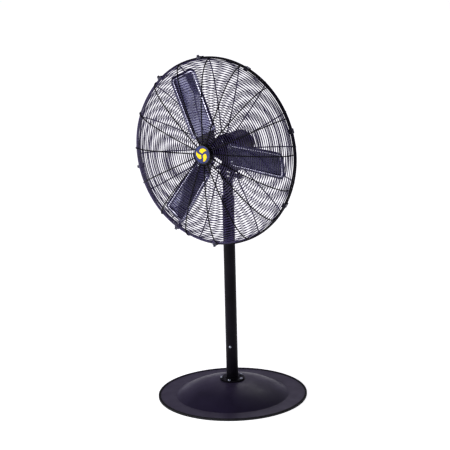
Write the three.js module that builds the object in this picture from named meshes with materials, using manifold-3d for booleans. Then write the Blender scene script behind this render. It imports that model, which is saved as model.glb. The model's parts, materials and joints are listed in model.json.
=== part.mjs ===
// High-velocity pedestal fan: round domed floor base, telescoping pole, swivelling and tilting
// motor head, three-blade propeller and a two-part wire guard held together by eight clips.
// Units are millimetres, +Z is up, the floor is z = 0 and the pole stands on X = Y = 0.
// The fan blows towards -Y. The head is built about its tilt pivot and stored tilted up a little.

import * as THREE from 'three';
import { mergeVertices } from 'three/addons/utils/BufferGeometryUtils.js';
import Module from 'manifold-3d';

// ---------------------------------------------------------------- driving dimensions

const gap = 0.3; // clearance between pieces that touch
const boltClearance = 0.5; // how much wider a bolt hole is than its bolt, on the radius

const baseSides = 40; // facets round the floor base
const roundSides = 20; // facets round tubes, the motor and bolts that turn in their holes
const ringSides = 24; // facets round the guard's inner rings
const rimSides = 72; // facets round the rim wires, where the clips turn
const smallSides = 8; // facets round fixed bolts, screws and spindles
const cutMargin = 1; // how far a cutting tool runs past the surface it cuts

// floor base
const baseRadius = 327.5;
const trimWall = 3.5; // rubber edge trim
const trimLap = 5; // how far the trim laps over the sheet
const trimFoot = 16; // width of the ring that stands on the floor
const trimLipThickness = 1.6;
const sheetThickness = 3.5;
const sheetUnderside = 4.5; // height of the flat margin's underside above the floor
const baseMargin = 79.5; // width of the flat margin outside the dome, trim included
const domeTop = 78; // height of the flat seat on top of the dome
const seatMargin = 4; // the seat is this much wider than the flange, on the radius
const seatHoleInset = 1.5; // the seat's hole is smaller than the spigot's bore, on the radius
const domeSteps = 4;

// pole flange, its bolts and the plate under the dome
const flangeRadius = 54;
const flangeThickness = 8;
const flangeBoltInset = 7; // of the bolt circle from the flange's edge
const flangeBoltCount = 5;
const flangeBoltRadius = 4;
const flangeBoltHeadRadius = 7;
const flangeBoltHeadHeight = 5.5;
const flangeBoltEnd = 2; // how far the bolts show below the backing plate
const backingThickness = 6;
const spigotWall = 3;
const spigotLength = 170;

// telescoping pole
const outerTubeRadius = 26;
const outerTubeWall = 2.2;
const outerTubeTop = 928;
const tubeSlideGap = 1.3; // between the two tubes
const innerTubeWall = 2;
const innerTubeLength = 538;
const innerTubeShowing = 80; // length of the inner tube above the outer one
const poleScrewInset = 20.3; // below the top of the spigot
const poleScrewAngle = 288; // degrees round the pole, in line with a flange bolt
const poleScrewRadius = 3;
const poleScrewHeadRadius = 6;
const poleScrewRimRadius = 5.1; // where the head's flat face starts
const poleScrewHeadHeight = 2;
const poleScrewCrown = 2.6;

// collar and clamp screw at the top of the outer tube
const collarWall = 2.3;
const collarHeight = 34;
const collarLip = 2.5;
const clampAngle = 115; // degrees round the pole; the clamp screws face the back
const clampScrewRadius = 4;
const clampBossRadius = 9;
const clampBossLength = 9.7; // from the outer tube's surface
const clampKnobRadius = 13;
const clampKnobLength = 14;
const clampKnobStandoff = 5; // from the boss
const knobBore = 4; // how far a stud runs into its knob

// yoke on the inner tube, and the motor bracket that straddles it
const yokeDiscOverhang = 3.5; // beyond the inner tube
const yokeDiscThickness = 5;
const yokePlugLength = 46;
const yokeCheekInset = 1; // of the cheeks from the disc's edge
const yokeCheekThickness = 5;
const yokeCheekRadius = 17; // round top of each cheek, about the pivot
const yokeGrooveDepth = 3; // groove that the swivel screw runs in
const swivelScrewDrop = 20; // below the top of the inner tube
const swivelScrewRadius = 3;
const swivelHeadRadius = 5.7;
const swivelHeadHeight = 5;
const bracketThickness = 4;
const bracketLegMargin = 1; // the legs are this much rounder than the yoke's cheeks
const bracketSwingClearance = 3.7; // between the legs and the yoke's disc
const bracketPlateClearance = 3; // between the cheeks and the plate
const bracketPlateLength = 64;
const bracketPlateOverhang = 18.7; // beyond each leg
const bracketBoltStandoff = 8.7; // bolt centre from the leg's outer face
const bracketBoltRadius = 4;
const bracketBoltHeadRadius = 7.5;
const bracketBoltHeadHeight = 5.5;
const pivotBoltRadius = 5;
const pivotBoltHeadRadius = 9;
const pivotBoltHeadHeight = 6;
const pivotBoltEndInset = 6; // of the bolt's end from the knob's end
const tiltSpacerLength = 22.4;
const tiltSpacerRadius = 9;
const tiltKnobLength = 22;
const tiltKnobRadius = 13;

// head
const tiltAtRest = 7.2; // degrees, front of the head up
const motorStandoff = 34; // between the bracket's plate and the motor's underside
const guardPlane = 95; // guard joint plane ahead of the tilt pivot

// motor, measured back from the guard joint plane
const motorRadius = 62;
const motorWall = 6;
const motorFront = 51;
const motorLength = 163;
const bellDepth = 25;
const bellFaceInset = 16; // the bell's flat face is this much smaller than the motor
const bellChamferInset = 4;
const bellChamferDepth = 6;
const bellShoulderDepth = 14;
const bellFaceThickness = 5.5;
const shaftHoleMargin = 1.5; // round the shaft in the front bell
const bearingRadius = 17.5;
const bearingWidth = 12;
const bearingSeatWall = 4.2;
const shaftRadius = 8;
const statorBore = 34;
const statorLength = 62;
const statorSetback = 36; // stator front behind the motor's front face
const slotCount = 6;
const slotWidth = 9;
const slotYoke = 8; // steel left between a slot and the shell
const windingOverhang = 11;
const airGap = 0.6;
const footInset = 2; // of the foot's flange from the plate's edges
const footThickness = 6.5;
const footWebWidth = 40;
const footWebLength = 50;
const footWebLap = 8.4; // how far the web reaches into the motor's wall
const switchInset = 11; // of the speed switch from the edge of the bell's face
const switchHalfWidth = 10;
const switchHalfHeight = 7;
const switchDepth = 12;
const spindleRadius = 3;
const spindleBore = 10; // depth of the switch's socket
const spindleHoleRadius = 4;
const speedKnobRadius = 12;
const speedKnobLength = 16;
const glandInset = 12; // of the cable gland from the edge of the bell's face
const glandRadius = 7;
const glandBore = 4;
const glandNutLength = 8;
const glandLockNut = 5;
const glandLength = 16;
const glandTaper = 1;
const glandNutMargin = 3; // how much wider the nuts are than the gland, on the radius
const capacitorRadius = 13;
const capacitorHalfLength = 20;
const capacitorClearance = 8; // from the motor shell
const capacitorSetback = 3; // behind the winding

// propeller
const bladeCount = 3;
const firstBladeAngle = 88; // degrees clockwise from the top, seen from the front
const bladePlane = 36; // ahead of the guard joint plane
const bladeRoot = 84;
const bladeTipClearance = 44; // inside the guard
const bladeRootChord = 120;
const bladeTipChord = 127;
const bladeTipShift = 16; // the tip leans towards the rear edge
const bladeThickness = 2.5;
const bladeRootPitch = 18;
const bladeTipPitch = 12;
const bladeCamber = 10;
const bladeFlatEnd = 0.14; // share of the length that lies flat on the hub arm
const bladeCornerDrop = 9;
const hubRadius = 27;
const hubLength = 46;
const hubArmLap = 34; // how far the arm runs under the blade
const hubArmShoulder = 4; // the arm reaches its full width this far past the blade's root
const hubArmInset = 11; // of the arm's edge from the blade's, at the root
const hubArmRootInset = 5; // of the arm's foot from the side of the hub
const hubArmThickness = 4;
const rivetRadius = 3.5;
const rivetHeadRadius = 7;
const rivetHeadHeight = 2.6;
const rivetLap = 16; // rivet centre from the blade's root
const rivetEdge = 15; // rivet centre from the arm's edge
const setScrewRadius = 3;
const setScrewAngle = 30;
const shaftProud = 4; // how far the shaft shows ahead of the hub

// guard
const guardRadius = 416;
const rimWire = 7;
const guardWire = 5;
const rimOffset = 7; // each rim wire from the joint plane
const frontGuardDepth = 105;
const rearGuardSetback = 3; // of the rear guard's middle behind the motor's front face
const guardBend = 3.2; // how late the profile turns towards the rim
const guardFlatness = 0.42;
const guardRingInsets = [112.5, 222.5]; // of the strengthening rings from the rim wire
const guardRingMargin = 1; // how much thicker these rings are than the ribs
const ribCount = 16;
const ribSteps = 5;
const frontRibAngle = 15.5; // degrees of the first rib, front guard
const rearRibAngle = 11;
const badgeRingRadius = 40;
const rearRingClearance = 10; // round the motor
const badgeMargin = 3; // beyond the ring it covers
const badgeThickness = 6;
const badgeRimWidth = 3;
const badgeRimHeight = 1.5;
const badgeEdge = 1;
const mountPlateThickness = 3;
const mountPlateInner = 24;
const mountPlateInset = 2; // of the plate from the edge of the bell's face
const mountArmWidth = 14;
const mountScrewInset = 10; // of the screw circle from the plate's edge
const mountScrewRadius = 3;
const mountScrewHeadRadius = 5.5;
const mountScrewHeadHeight = 4;
const mountArmCount = 3;

// guard clips, fitted by hand between the ribs
const clipAngles = [19.5, 68.5, 116, 177, 206, 251, 311.5, 344.5];
const clipClearance = 1.2; // between the clip and the rim wires it turns round
const clipLength = 22;
const clipThickness = 1.8;
const clipLipDepth = 10;
const clipTongue = 9;
const clipTongueLean = 3; // how far the tongue leans forward
const clipLap = 1; // thickness of the tongue at its tip

// ---------------------------------------------------------------- derived sizes

const radians = THREE.MathUtils.degToRad;
const sheetTop = sheetUnderside + sheetThickness;
const shellRadius = baseRadius - trimWall - gap;
const domeFootRadius = baseRadius - baseMargin;
const seatRadius = flangeRadius + seatMargin;
const seatUnderside = domeTop - sheetThickness;
const backingTop = seatUnderside - gap;
const flangeBottom = domeTop + gap;
const flangeTop = flangeBottom + flangeThickness;
const flangeBoltCircle = flangeRadius - flangeBoltInset;
const backingRadius = flangeRadius;
const outerTubeBore = outerTubeRadius - outerTubeWall;
const spigotRadius = outerTubeBore - gap;
const spigotBore = spigotRadius - spigotWall;
const spigotTop = flangeTop + spigotLength;
const seatHoleRadius = spigotBore - seatHoleInset;
const poleScrewHeight = spigotTop - poleScrewInset;
const innerTubeRadius = outerTubeBore - tubeSlideGap;
const innerTubeBore = innerTubeRadius - innerTubeWall;
const innerTubeTop = outerTubeTop + innerTubeShowing;
const innerTubeBottom = innerTubeTop - innerTubeLength;
const collarInner = outerTubeRadius + gap;
const collarRadius = collarInner + collarWall;
const collarBottom = outerTubeTop + gap + collarLip - collarHeight;
const clampScrewHeight = collarBottom + collarHeight / 2;
const collarBore = innerTubeRadius + gap;
const clampBossReach = collarInner + clampBossLength;
const clampKnobStart = clampBossReach + clampKnobStandoff;
const yokeDiscRadius = innerTubeRadius + yokeDiscOverhang;
const yokeDiscBottom = innerTubeTop + gap;
const yokeDiscTop = yokeDiscBottom + yokeDiscThickness;
const yokeCheekOuter = yokeDiscRadius - yokeCheekInset;
const yokeCheekInner = yokeCheekOuter - yokeCheekThickness;
const bracketLegRadius = yokeCheekRadius + bracketLegMargin;
const pivotHeight = yokeDiscTop + bracketSwingClearance + bracketLegRadius;
const bracketLegInner = yokeCheekOuter + gap;
const bracketLegOuter = bracketLegInner + bracketThickness;
const bracketPlateHeight = yokeCheekRadius + bracketPlateClearance; // underside above the pivot
const bracketPlateTop = bracketPlateHeight + bracketThickness;
const bracketPlateWidth = 2 * (bracketLegOuter + bracketPlateOverhang);
const bracketBoltOffset = bracketLegOuter + bracketBoltStandoff;
const tiltKnobStart = bracketLegOuter + gap + tiltSpacerLength;
const fanAxisHeight = bracketPlateTop + motorStandoff + motorRadius; // above the pivot
const motorBack = motorFront + motorLength;
const motorShellBore = motorRadius - motorWall;
const bellFaceRadius = motorRadius - bellFaceInset;
const slotBottomRadius = motorShellBore - slotYoke;
const switchOffset = bellFaceRadius - switchInset; // above the fan axis
const glandOffset = bellFaceRadius - glandInset; // below the fan axis
const bladePitchRange = bladeRootPitch - bladeTipPitch;
const shellFront = motorFront + bellDepth + gap;
const shellBack = motorBack - bellDepth - gap;
const statorFront = motorFront + statorSetback;
const statorBack = statorFront + statorLength;
const rotorRadius = statorBore - airGap;
const frontBearing = motorFront + bellFaceThickness + gap;
const rearBearing = motorBack - bellFaceThickness - gap - bearingWidth;
const footBottom = bracketPlateTop + gap - fanAxisHeight;
const footWidth = bracketPlateWidth - 2 * footInset;
const footLength = bracketPlateLength - 2 * footInset;
const bladeTip = guardRadius - bladeTipClearance;
const hubArmEnd = bladeRoot + hubArmLap;
const hubArmTipWidth = bladeRootChord - 2 * hubArmInset;
const hubArmRootWidth = 2 * (hubRadius - hubArmRootInset);
const rivetRing = bladeRoot + rivetLap; // distance of the rivets from the fan axis
const rivetSpread = hubArmTipWidth / 2 - rivetEdge; // and from the blade's centre line
const rimRadius = guardRadius - rimWire / 2;
const guardRings = guardRingInsets.map((inset) => rimRadius - inset);
const rearGuardDepth = motorFront + rearGuardSetback;
const rearRingRadius = motorRadius + rearRingClearance;
const badgeRadius = badgeRingRadius + badgeMargin;
const mountPlateOuter = bellFaceRadius - mountPlateInset;
const mountScrewCircle = mountPlateOuter - mountScrewInset;

// ---------------------------------------------------------------- joining and cutting

const wasm = await Module();
wasm.setup();

function toSolid(geometry) {
  const bare = geometry.clone();
  bare.deleteAttribute('normal');
  bare.deleteAttribute('uv');
  const merged = mergeVertices(bare, 1e-3);
  const mesh = new wasm.Mesh({
    numProp: 3,
    vertProperties: new Float32Array(merged.attributes.position.array),
    triVerts: new Uint32Array(merged.index.array),
  });
  return new wasm.Manifold(mesh);
}

function toGeometry(solid) {
  const mesh = solid.getMesh();
  const geometry = new THREE.BufferGeometry();
  geometry.setAttribute('position', new THREE.BufferAttribute(mesh.vertProperties, 3));
  geometry.setIndex(new THREE.BufferAttribute(mesh.triVerts, 1));
  geometry.computeVertexNormals();
  return geometry;
}

function join(...pieces) {
  return toGeometry(pieces.map(toSolid).reduce((whole, next) => whole.add(next)));
}

function cut(body, ...tools) {
  return toGeometry(tools.map(toSolid).reduce((left, tool) => left.subtract(tool), toSolid(body)));
}

// ---------------------------------------------------------------- shapes

// A solid of revolution about the Y axis. The outline is a closed list of [radius, y] points,
// anticlockwise with the radius to the right, or an open one that starts and ends on the axis.
function turnedY(outline, sides = roundSides) {
  const points = outline.map(([radius, y]) => new THREE.Vector2(radius, y));
  const onAxis = outline[0][0] === 0;
  if (!onAxis) {
    points.push(points[0].clone());
  }
  return new THREE.LatheGeometry(points, sides);
}

function turnedZ(outline, sides = roundSides) {
  return turnedY(outline, sides).rotateX(Math.PI / 2);
}

function turnedX(outline, sides = smallSides) {
  return turnedY(outline, sides).rotateZ(-Math.PI / 2);
}

function rodOutline(radius, start, end) {
  return [[0, start], [radius, start], [radius, end], [0, end]];
}

function ringOutline(inner, outer, start, end) {
  return [[inner, start], [outer, start], [outer, end], [inner, end]];
}

function box(x0, x1, y0, y1, z0, z1) {
  const geometry = new THREE.BoxGeometry(x1 - x0, y1 - y0, z1 - z0);
  return geometry.translate((x0 + x1) / 2, (y0 + y1) / 2, (z0 + z1) / 2);
}

function extruded(points, depth) {
  const shape = new THREE.Shape(points.map(([x, y]) => new THREE.Vector2(x, y)));
  return new THREE.ExtrudeGeometry(shape, { depth, bevelEnabled: false });
}

// Six-lobed grip outline, extruded along +Z from zero.
function lobedGrip(radius, length) {
  const points = [];
  const steps = 24;
  for (let i = 0; i < steps; i += 1) {
    const angle = (i / steps) * 2 * Math.PI;
    const reach = radius * (0.92 + 0.08 * Math.cos(6 * angle));
    points.push([reach * Math.cos(angle), reach * Math.sin(angle)]);
  }
  return extruded(points, length);
}

// Hexagon-headed bolt along +Z: the head stands on z = 0 and the shank goes down.
function hexBolt(shankRadius, headRadius, headHeight, shankLength) {
  const head = turnedZ(rodOutline(headRadius, 0, headHeight), 6);
  const shank = turnedZ(rodOutline(shankRadius, -shankLength, 0.5), smallSides);
  return join(head, shank);
}

function materialOf(colour, roughness, metalness) {
  return new THREE.MeshStandardMaterial({ color: colour, roughness, metalness });
}

const blackPaint = () => materialOf(0x1c1a24, 0.4, 0.3);
const basePaint = () => materialOf(0x3d3947, 0.45, 0.3);
const zinc = () => materialOf(0xb9bcc2, 0.35, 0.9);
const rubber = () => materialOf(0x17161a, 0.85, 0);
const plastic = () => materialOf(0x15141a, 0.5, 0);
const steel = () => materialOf(0x9a9da3, 0.4, 0.9);
const copper = () => materialOf(0xb4683a, 0.4, 0.8);
const bladeMetal = () => materialOf(0x3b4154, 0.3, 0.8);

function addMesh(group, name, geometry, material) {
  const mesh = new THREE.Mesh(geometry, material);
  mesh.name = name;
  group.add(mesh);
  return mesh;
}

// ---------------------------------------------------------------- floor base

// Height of the dome's outer surface: a sphere through the foot and the edge of the flat seat.
function domeHeight(radius) {
  const rise = domeTop - sheetTop;
  const reach = domeFootRadius ** 2 - seatRadius ** 2;
  const centre = (domeTop + sheetTop - reach / rise) / 2;
  const sphere = Math.hypot(domeFootRadius, sheetTop - centre);
  return centre + Math.sqrt(sphere ** 2 - radius ** 2);
}

function baseShell() {
  const arc = [];
  for (let i = 0; i <= domeSteps; i += 1) {
    const radius = domeFootRadius + ((seatRadius - domeFootRadius) * i) / domeSteps;
    arc.push([radius, domeHeight(radius)]);
  }
  const under = arc.map(([radius, z]) => [radius, z - sheetThickness]).reverse();
  const outline = [
    [seatHoleRadius, seatUnderside],
    ...under,
    [shellRadius, sheetUnderside],
    [shellRadius, sheetTop],
    ...arc,
    [seatHoleRadius, domeTop],
  ];
  return turnedZ(outline, baseSides);
}

function baseTrim() {
  const outer = shellRadius + gap;
  const lap = shellRadius - trimLap;
  const top = sheetTop + gap + trimLipThickness;
  const outline = [
    [baseRadius - trimFoot, 0],
    [baseRadius, 0],
    [baseRadius, top],
    [lap, top],
    [lap, sheetTop + gap],
    [outer, sheetTop + gap],
    [outer, sheetUnderside - gap],
    [baseRadius - trimFoot, sheetUnderside - gap],
  ];
  return turnedZ(outline, baseSides);
}

function flangeBoltSpot(index) {
  const angle = radians((360 / flangeBoltCount) * index);
  return [flangeBoltCircle * Math.cos(angle), flangeBoltCircle * Math.sin(angle)];
}

function flangeBoltHoles(radius) {
  const holes = [];
  for (let i = 0; i < flangeBoltCount; i += 1) {
    const [x, y] = flangeBoltSpot(i);
    const outline = rodOutline(radius, backingTop - 2 * backingThickness, flangeTop + cutMargin);
    holes.push(turnedZ(outline, smallSides).translate(x, y, 0));
  }
  return holes;
}

// A round bar that points outwards from the pole at the given angle.
function radialRod(radius, start, end, angle, height, sides = smallSides) {
  const rod = turnedX(rodOutline(radius, start, end), sides);
  return rod.rotateZ(radians(angle)).translate(0, 0, height);
}

function poleFlange() {
  const disc = turnedZ(ringOutline(spigotBore, flangeRadius, flangeBottom, flangeTop));
  const spigot = turnedZ(ringOutline(spigotBore, spigotRadius, flangeBottom, spigotTop));
  const screwHole = radialRod(
    poleScrewRadius + gap,
    spigotBore - cutMargin,
    spigotRadius + cutMargin,
    poleScrewAngle,
    poleScrewHeight,
  );
  return cut(join(disc, spigot), ...flangeBoltHoles(flangeBoltRadius + boltClearance), screwHole);
}

function addBase(fan) {
  const holes = flangeBoltHoles(flangeBoltRadius + boltClearance);
  addMesh(fan, 'base_shell', cut(baseShell(), ...holes), basePaint());
  addMesh(fan, 'base_edge_trim', baseTrim(), rubber());
  const backing = turnedZ(
    ringOutline(seatHoleRadius, backingRadius, backingTop - backingThickness, backingTop),
  );
  addMesh(fan, 'backing_plate', cut(backing, ...flangeBoltHoles(flangeBoltRadius + gap)), steel());
  addMesh(fan, 'pole_flange', poleFlange(), blackPaint());
  const boltReach = flangeTop + gap - (backingTop - backingThickness);
  for (let i = 0; i < flangeBoltCount; i += 1) {
    const bolt = hexBolt(
      flangeBoltRadius,
      flangeBoltHeadRadius,
      flangeBoltHeadHeight,
      boltReach + flangeBoltEnd,
    );
    const [x, y] = flangeBoltSpot(i);
    addMesh(fan, `flange_bolt_${i + 1}`, bolt, zinc()).position.set(x, y, flangeTop + gap);
  }
}

// ---------------------------------------------------------------- telescoping pole

function addPole(fan) {
  const tube = turnedZ(
    ringOutline(outerTubeBore, outerTubeRadius, flangeTop + gap, outerTubeTop),
  );
  const screwHole = radialRod(
    poleScrewRadius + gap,
    outerTubeBore - cutMargin,
    outerTubeRadius + cutMargin,
    poleScrewAngle,
    poleScrewHeight,
  );
  const clampHole = radialRod(
    clampScrewRadius + gap,
    outerTubeBore - cutMargin,
    outerTubeRadius + cutMargin,
    clampAngle,
    clampScrewHeight,
  );
  addMesh(fan, 'outer_tube', cut(tube, screwHole, clampHole), blackPaint());

  const headBottom = outerTubeRadius + gap;
  const screw = turnedX([
    [0, spigotBore],
    [poleScrewRadius, spigotBore],
    [poleScrewRadius, headBottom],
    [poleScrewHeadRadius, headBottom],
    [poleScrewRimRadius, headBottom + poleScrewHeadHeight],
    [0, headBottom + poleScrewCrown],
  ]);
  screw.rotateZ(radians(poleScrewAngle));
  addMesh(fan, 'pole_screw', screw, zinc()).position.z = poleScrewHeight;

  const lipBottom = outerTubeTop + gap;
  const sleeve = turnedZ([
    [collarInner, collarBottom],
    [collarRadius, collarBottom],
    [collarRadius, lipBottom + collarLip],
    [collarBore, lipBottom + collarLip],
    [collarBore, lipBottom],
    [collarInner, lipBottom],
  ]);
  const boss = radialRod(
    clampBossRadius,
    collarInner + collarWall / 2,
    clampBossReach,
    clampAngle,
    clampScrewHeight,
  );
  const bore = radialRod(
    clampScrewRadius + gap,
    innerTubeRadius,
    clampBossReach + cutMargin,
    clampAngle,
    clampScrewHeight,
  );
  addMesh(fan, 'tube_collar', cut(join(sleeve, boss), bore), blackPaint());

  const studEnd = clampKnobStart + knobBore;
  const stud = turnedX(rodOutline(clampScrewRadius, innerTubeRadius + gap, studEnd));
  const grip = lobedGrip(clampKnobRadius, clampKnobLength).rotateY(Math.PI / 2);
  grip.translate(clampKnobStart, 0, 0);
  const knob = join(stud, grip).rotateZ(radians(clampAngle));
  addMesh(fan, 'height_knob', knob, plastic()).position.z = clampScrewHeight;

  const inner = turnedZ(ringOutline(innerTubeBore, innerTubeRadius, innerTubeBottom, innerTubeTop));
  const swivelHole = radialRod(
    swivelScrewRadius + gap,
    innerTubeBore - cutMargin,
    innerTubeRadius + cutMargin,
    clampAngle,
    innerTubeTop - swivelScrewDrop,
  );
  addMesh(fan, 'inner_tube', cut(inner, swivelHole), blackPaint());
}

// ---------------------------------------------------------------- yoke

function addYoke(fan) {
  const plugRadius = innerTubeBore - gap;
  const grooveRadius = plugRadius - yokeGrooveDepth;
  const grooveHalf = swivelScrewRadius + 1;
  const screwHeight = innerTubeTop - swivelScrewDrop;
  const body = turnedZ([
    [0, innerTubeTop - yokePlugLength],
    [plugRadius, innerTubeTop - yokePlugLength],
    [plugRadius, screwHeight - grooveHalf],
    [grooveRadius, screwHeight - grooveHalf],
    [grooveRadius, screwHeight + grooveHalf],
    [plugRadius, screwHeight + grooveHalf],
    [plugRadius, yokeDiscBottom],
    [yokeDiscRadius, yokeDiscBottom],
    [yokeDiscRadius, yokeDiscTop],
    [0, yokeDiscTop],
  ]);
  const cheeks = [-1, 1].flatMap((side) => {
    const x0 = side > 0 ? yokeCheekInner : -yokeCheekOuter;
    const x1 = x0 + yokeCheekThickness;
    const half = yokeCheekRadius;
    const post = box(x0, x1, -half, half, yokeDiscTop - 1, pivotHeight);
    const round = turnedX(rodOutline(half, x0, x1), roundSides).translate(0, 0, pivotHeight);
    return [post, round];
  });
  const reach = yokeCheekOuter + cutMargin;
  const hole = turnedX(rodOutline(pivotBoltRadius + gap, -reach, reach), roundSides);
  hole.translate(0, 0, pivotHeight);
  addMesh(fan, 'yoke', cut(join(body, ...cheeks), hole), blackPaint());

  const tip = grooveRadius + gap;
  const under = innerTubeRadius + gap;
  const screw = join(
    turnedX(rodOutline(swivelScrewRadius, tip, under + 1)),
    turnedX(rodOutline(swivelHeadRadius, under, under + swivelHeadHeight), 6),
  );
  screw.rotateZ(radians(clampAngle));
  addMesh(fan, 'swivel_screw', screw, zinc()).position.z = screwHeight;
}

// ---------------------------------------------------------------- motor bracket and tilt clamp

function addBracket(head) {
  const top = bracketPlateTop;
  const halfWidth = bracketPlateWidth / 2;
  const halfLength = bracketPlateLength / 2;
  const plate = box(-halfWidth, halfWidth, -halfLength, halfLength, bracketPlateHeight, top);
  const legs = [-1, 1].flatMap((side) => {
    const x0 = side > 0 ? bracketLegInner : -bracketLegOuter;
    const x1 = x0 + bracketThickness;
    const half = bracketLegRadius;
    const leg = box(x0, x1, -half, half, 0, bracketPlateHeight + 1);
    const round = turnedX(rodOutline(half, x0, x1), roundSides);
    return [leg, round];
  });
  const reach = bracketLegOuter + cutMargin;
  const pivotHole = turnedX(rodOutline(pivotBoltRadius + gap, -reach, reach), roundSides);
  const boltHoles = [-1, 1].map((side) => {
    const start = bracketPlateHeight - cutMargin;
    const hole = rodOutline(bracketBoltRadius + gap, start, top + cutMargin);
    return turnedZ(hole, smallSides).translate(side * bracketBoltOffset, 0, 0);
  });
  addMesh(head, 'motor_bracket', cut(join(plate, ...legs), pivotHole, ...boltHoles), blackPaint());

  [-1, 1].forEach((side, index) => {
    const length = bracketThickness + footThickness;
    const bolt = hexBolt(
      bracketBoltRadius,
      bracketBoltHeadRadius,
      bracketBoltHeadHeight,
      length,
    ).rotateX(Math.PI);
    const mesh = addMesh(head, `bracket_bolt_${index + 1}`, bolt, zinc());
    mesh.position.set(side * bracketBoltOffset, 0, bracketPlateHeight - gap);
  });

  const headFace = -(bracketLegOuter + gap);
  const boltEnd = tiltKnobStart + tiltKnobLength - pivotBoltEndInset;
  const bolt = join(
    turnedX(rodOutline(pivotBoltHeadRadius, headFace - pivotBoltHeadHeight, headFace), 6),
    turnedX(rodOutline(pivotBoltRadius, headFace - 1, boltEnd), roundSides),
  );
  addMesh(head, 'pivot_bolt', bolt, zinc());

  const spacerEnd = tiltKnobStart + 1;
  const spacer = turnedX(
    rodOutline(tiltSpacerRadius, bracketLegOuter + gap, spacerEnd),
    roundSides,
  );
  const grip = lobedGrip(tiltKnobRadius, tiltKnobLength).rotateY(Math.PI / 2);
  grip.translate(tiltKnobStart, 0, 0);
  const thread = turnedX(rodOutline(pivotBoltRadius + gap, 0, boltEnd + gap), roundSides);
  addMesh(head, 'tilt_knob', cut(join(spacer, grip), thread), plastic());
}

// ---------------------------------------------------------------- motor

// Places along the fan axis are given as distances behind the guard joint plane.
const behind = (distance) => distance - guardPlane;
const ahead = (distance) => -guardPlane - distance;

function motorFoot() {
  const halfWidth = footWidth / 2;
  const halfLength = footLength / 2;
  const top = footBottom + footThickness;
  const flange = box(-halfWidth, halfWidth, -halfLength, halfLength, footBottom, top);
  const halfWeb = footWebWidth / 2;
  const webFront = behind(shellFront);
  const webTop = footWebLap - motorRadius;
  const web = box(-halfWeb, halfWeb, webFront, webFront + footWebLength, top - 1, webTop);
  return join(flange, web);
}

function motorShell() {
  const start = behind(shellFront);
  const end = behind(shellBack);
  const shell = turnedY(ringOutline(motorShellBore, motorRadius, start, end));
  const bore = turnedY(rodOutline(motorShellBore, start - cutMargin, end + cutMargin));
  const boltHoles = [-1, 1].map((side) => {
    const top = footBottom + footThickness + cutMargin;
    const hole = rodOutline(bracketBoltRadius + gap, footBottom - cutMargin, top);
    return turnedZ(hole, smallSides).translate(side * bracketBoltOffset, 0, 0);
  });
  return cut(join(shell, motorFoot()), bore, ...boltHoles);
}

// End bell outline with its outer face at `face`, drawn inwards along `inwards` (+1 or -1).
function bellOutline(face, inwards, shaftHole) {
  const at = (depth) => behind(face + inwards * depth);
  const seat = bearingRadius + gap;
  const seatEnd = bellFaceThickness + gap + bearingWidth;
  const inner = motorShellBore;
  const outline = [
    [shaftHole, at(0)],
    [bellFaceRadius, at(0)],
    [motorRadius - bellChamferInset, at(bellChamferDepth)],
    [motorRadius, at(bellShoulderDepth)],
    [motorRadius, at(bellDepth)],
    [inner, at(bellDepth)],
    [inner - 1, at(bellShoulderDepth)],
    [bellFaceRadius - 1, at(bellFaceThickness)],
    [seat + bearingSeatWall, at(bellFaceThickness)],
    [seat + bearingSeatWall, at(seatEnd)],
    [seat, at(seatEnd)],
    [seat, at(bellFaceThickness)],
    [shaftHole, at(bellFaceThickness)],
  ];
  return inwards > 0 ? outline : outline.reverse();
}

function frontBell() {
  const bell = turnedY(bellOutline(motorFront, 1, shaftRadius + shaftHoleMargin));
  const holeEnd = motorFront + bellFaceThickness + cutMargin;
  return cut(bell, ...mountScrewHoles(motorFront - cutMargin, holeEnd));
}

function rearBell() {
  const face = behind(motorBack);
  const bell = turnedY(bellOutline(motorBack, -1, 0));
  const start = face - bellFaceThickness - cutMargin;
  const end = face + cutMargin;
  const switchHole = turnedY(rodOutline(spindleHoleRadius, start, end), smallSides);
  const glandHole = turnedY(rodOutline(glandRadius + gap, start, end), smallSides);
  switchHole.translate(0, 0, switchOffset);
  glandHole.translate(0, 0, -glandOffset);
  return cut(bell, switchHole, glandHole);
}

function slotBars(inner, outer, width, start, end) {
  const bars = [];
  for (let i = 0; i < slotCount; i += 1) {
    const bar = box(-width / 2, width / 2, start, end, inner, outer);
    bars.push(bar.rotateY((i * 2 * Math.PI) / slotCount));
  }
  return bars;
}

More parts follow.
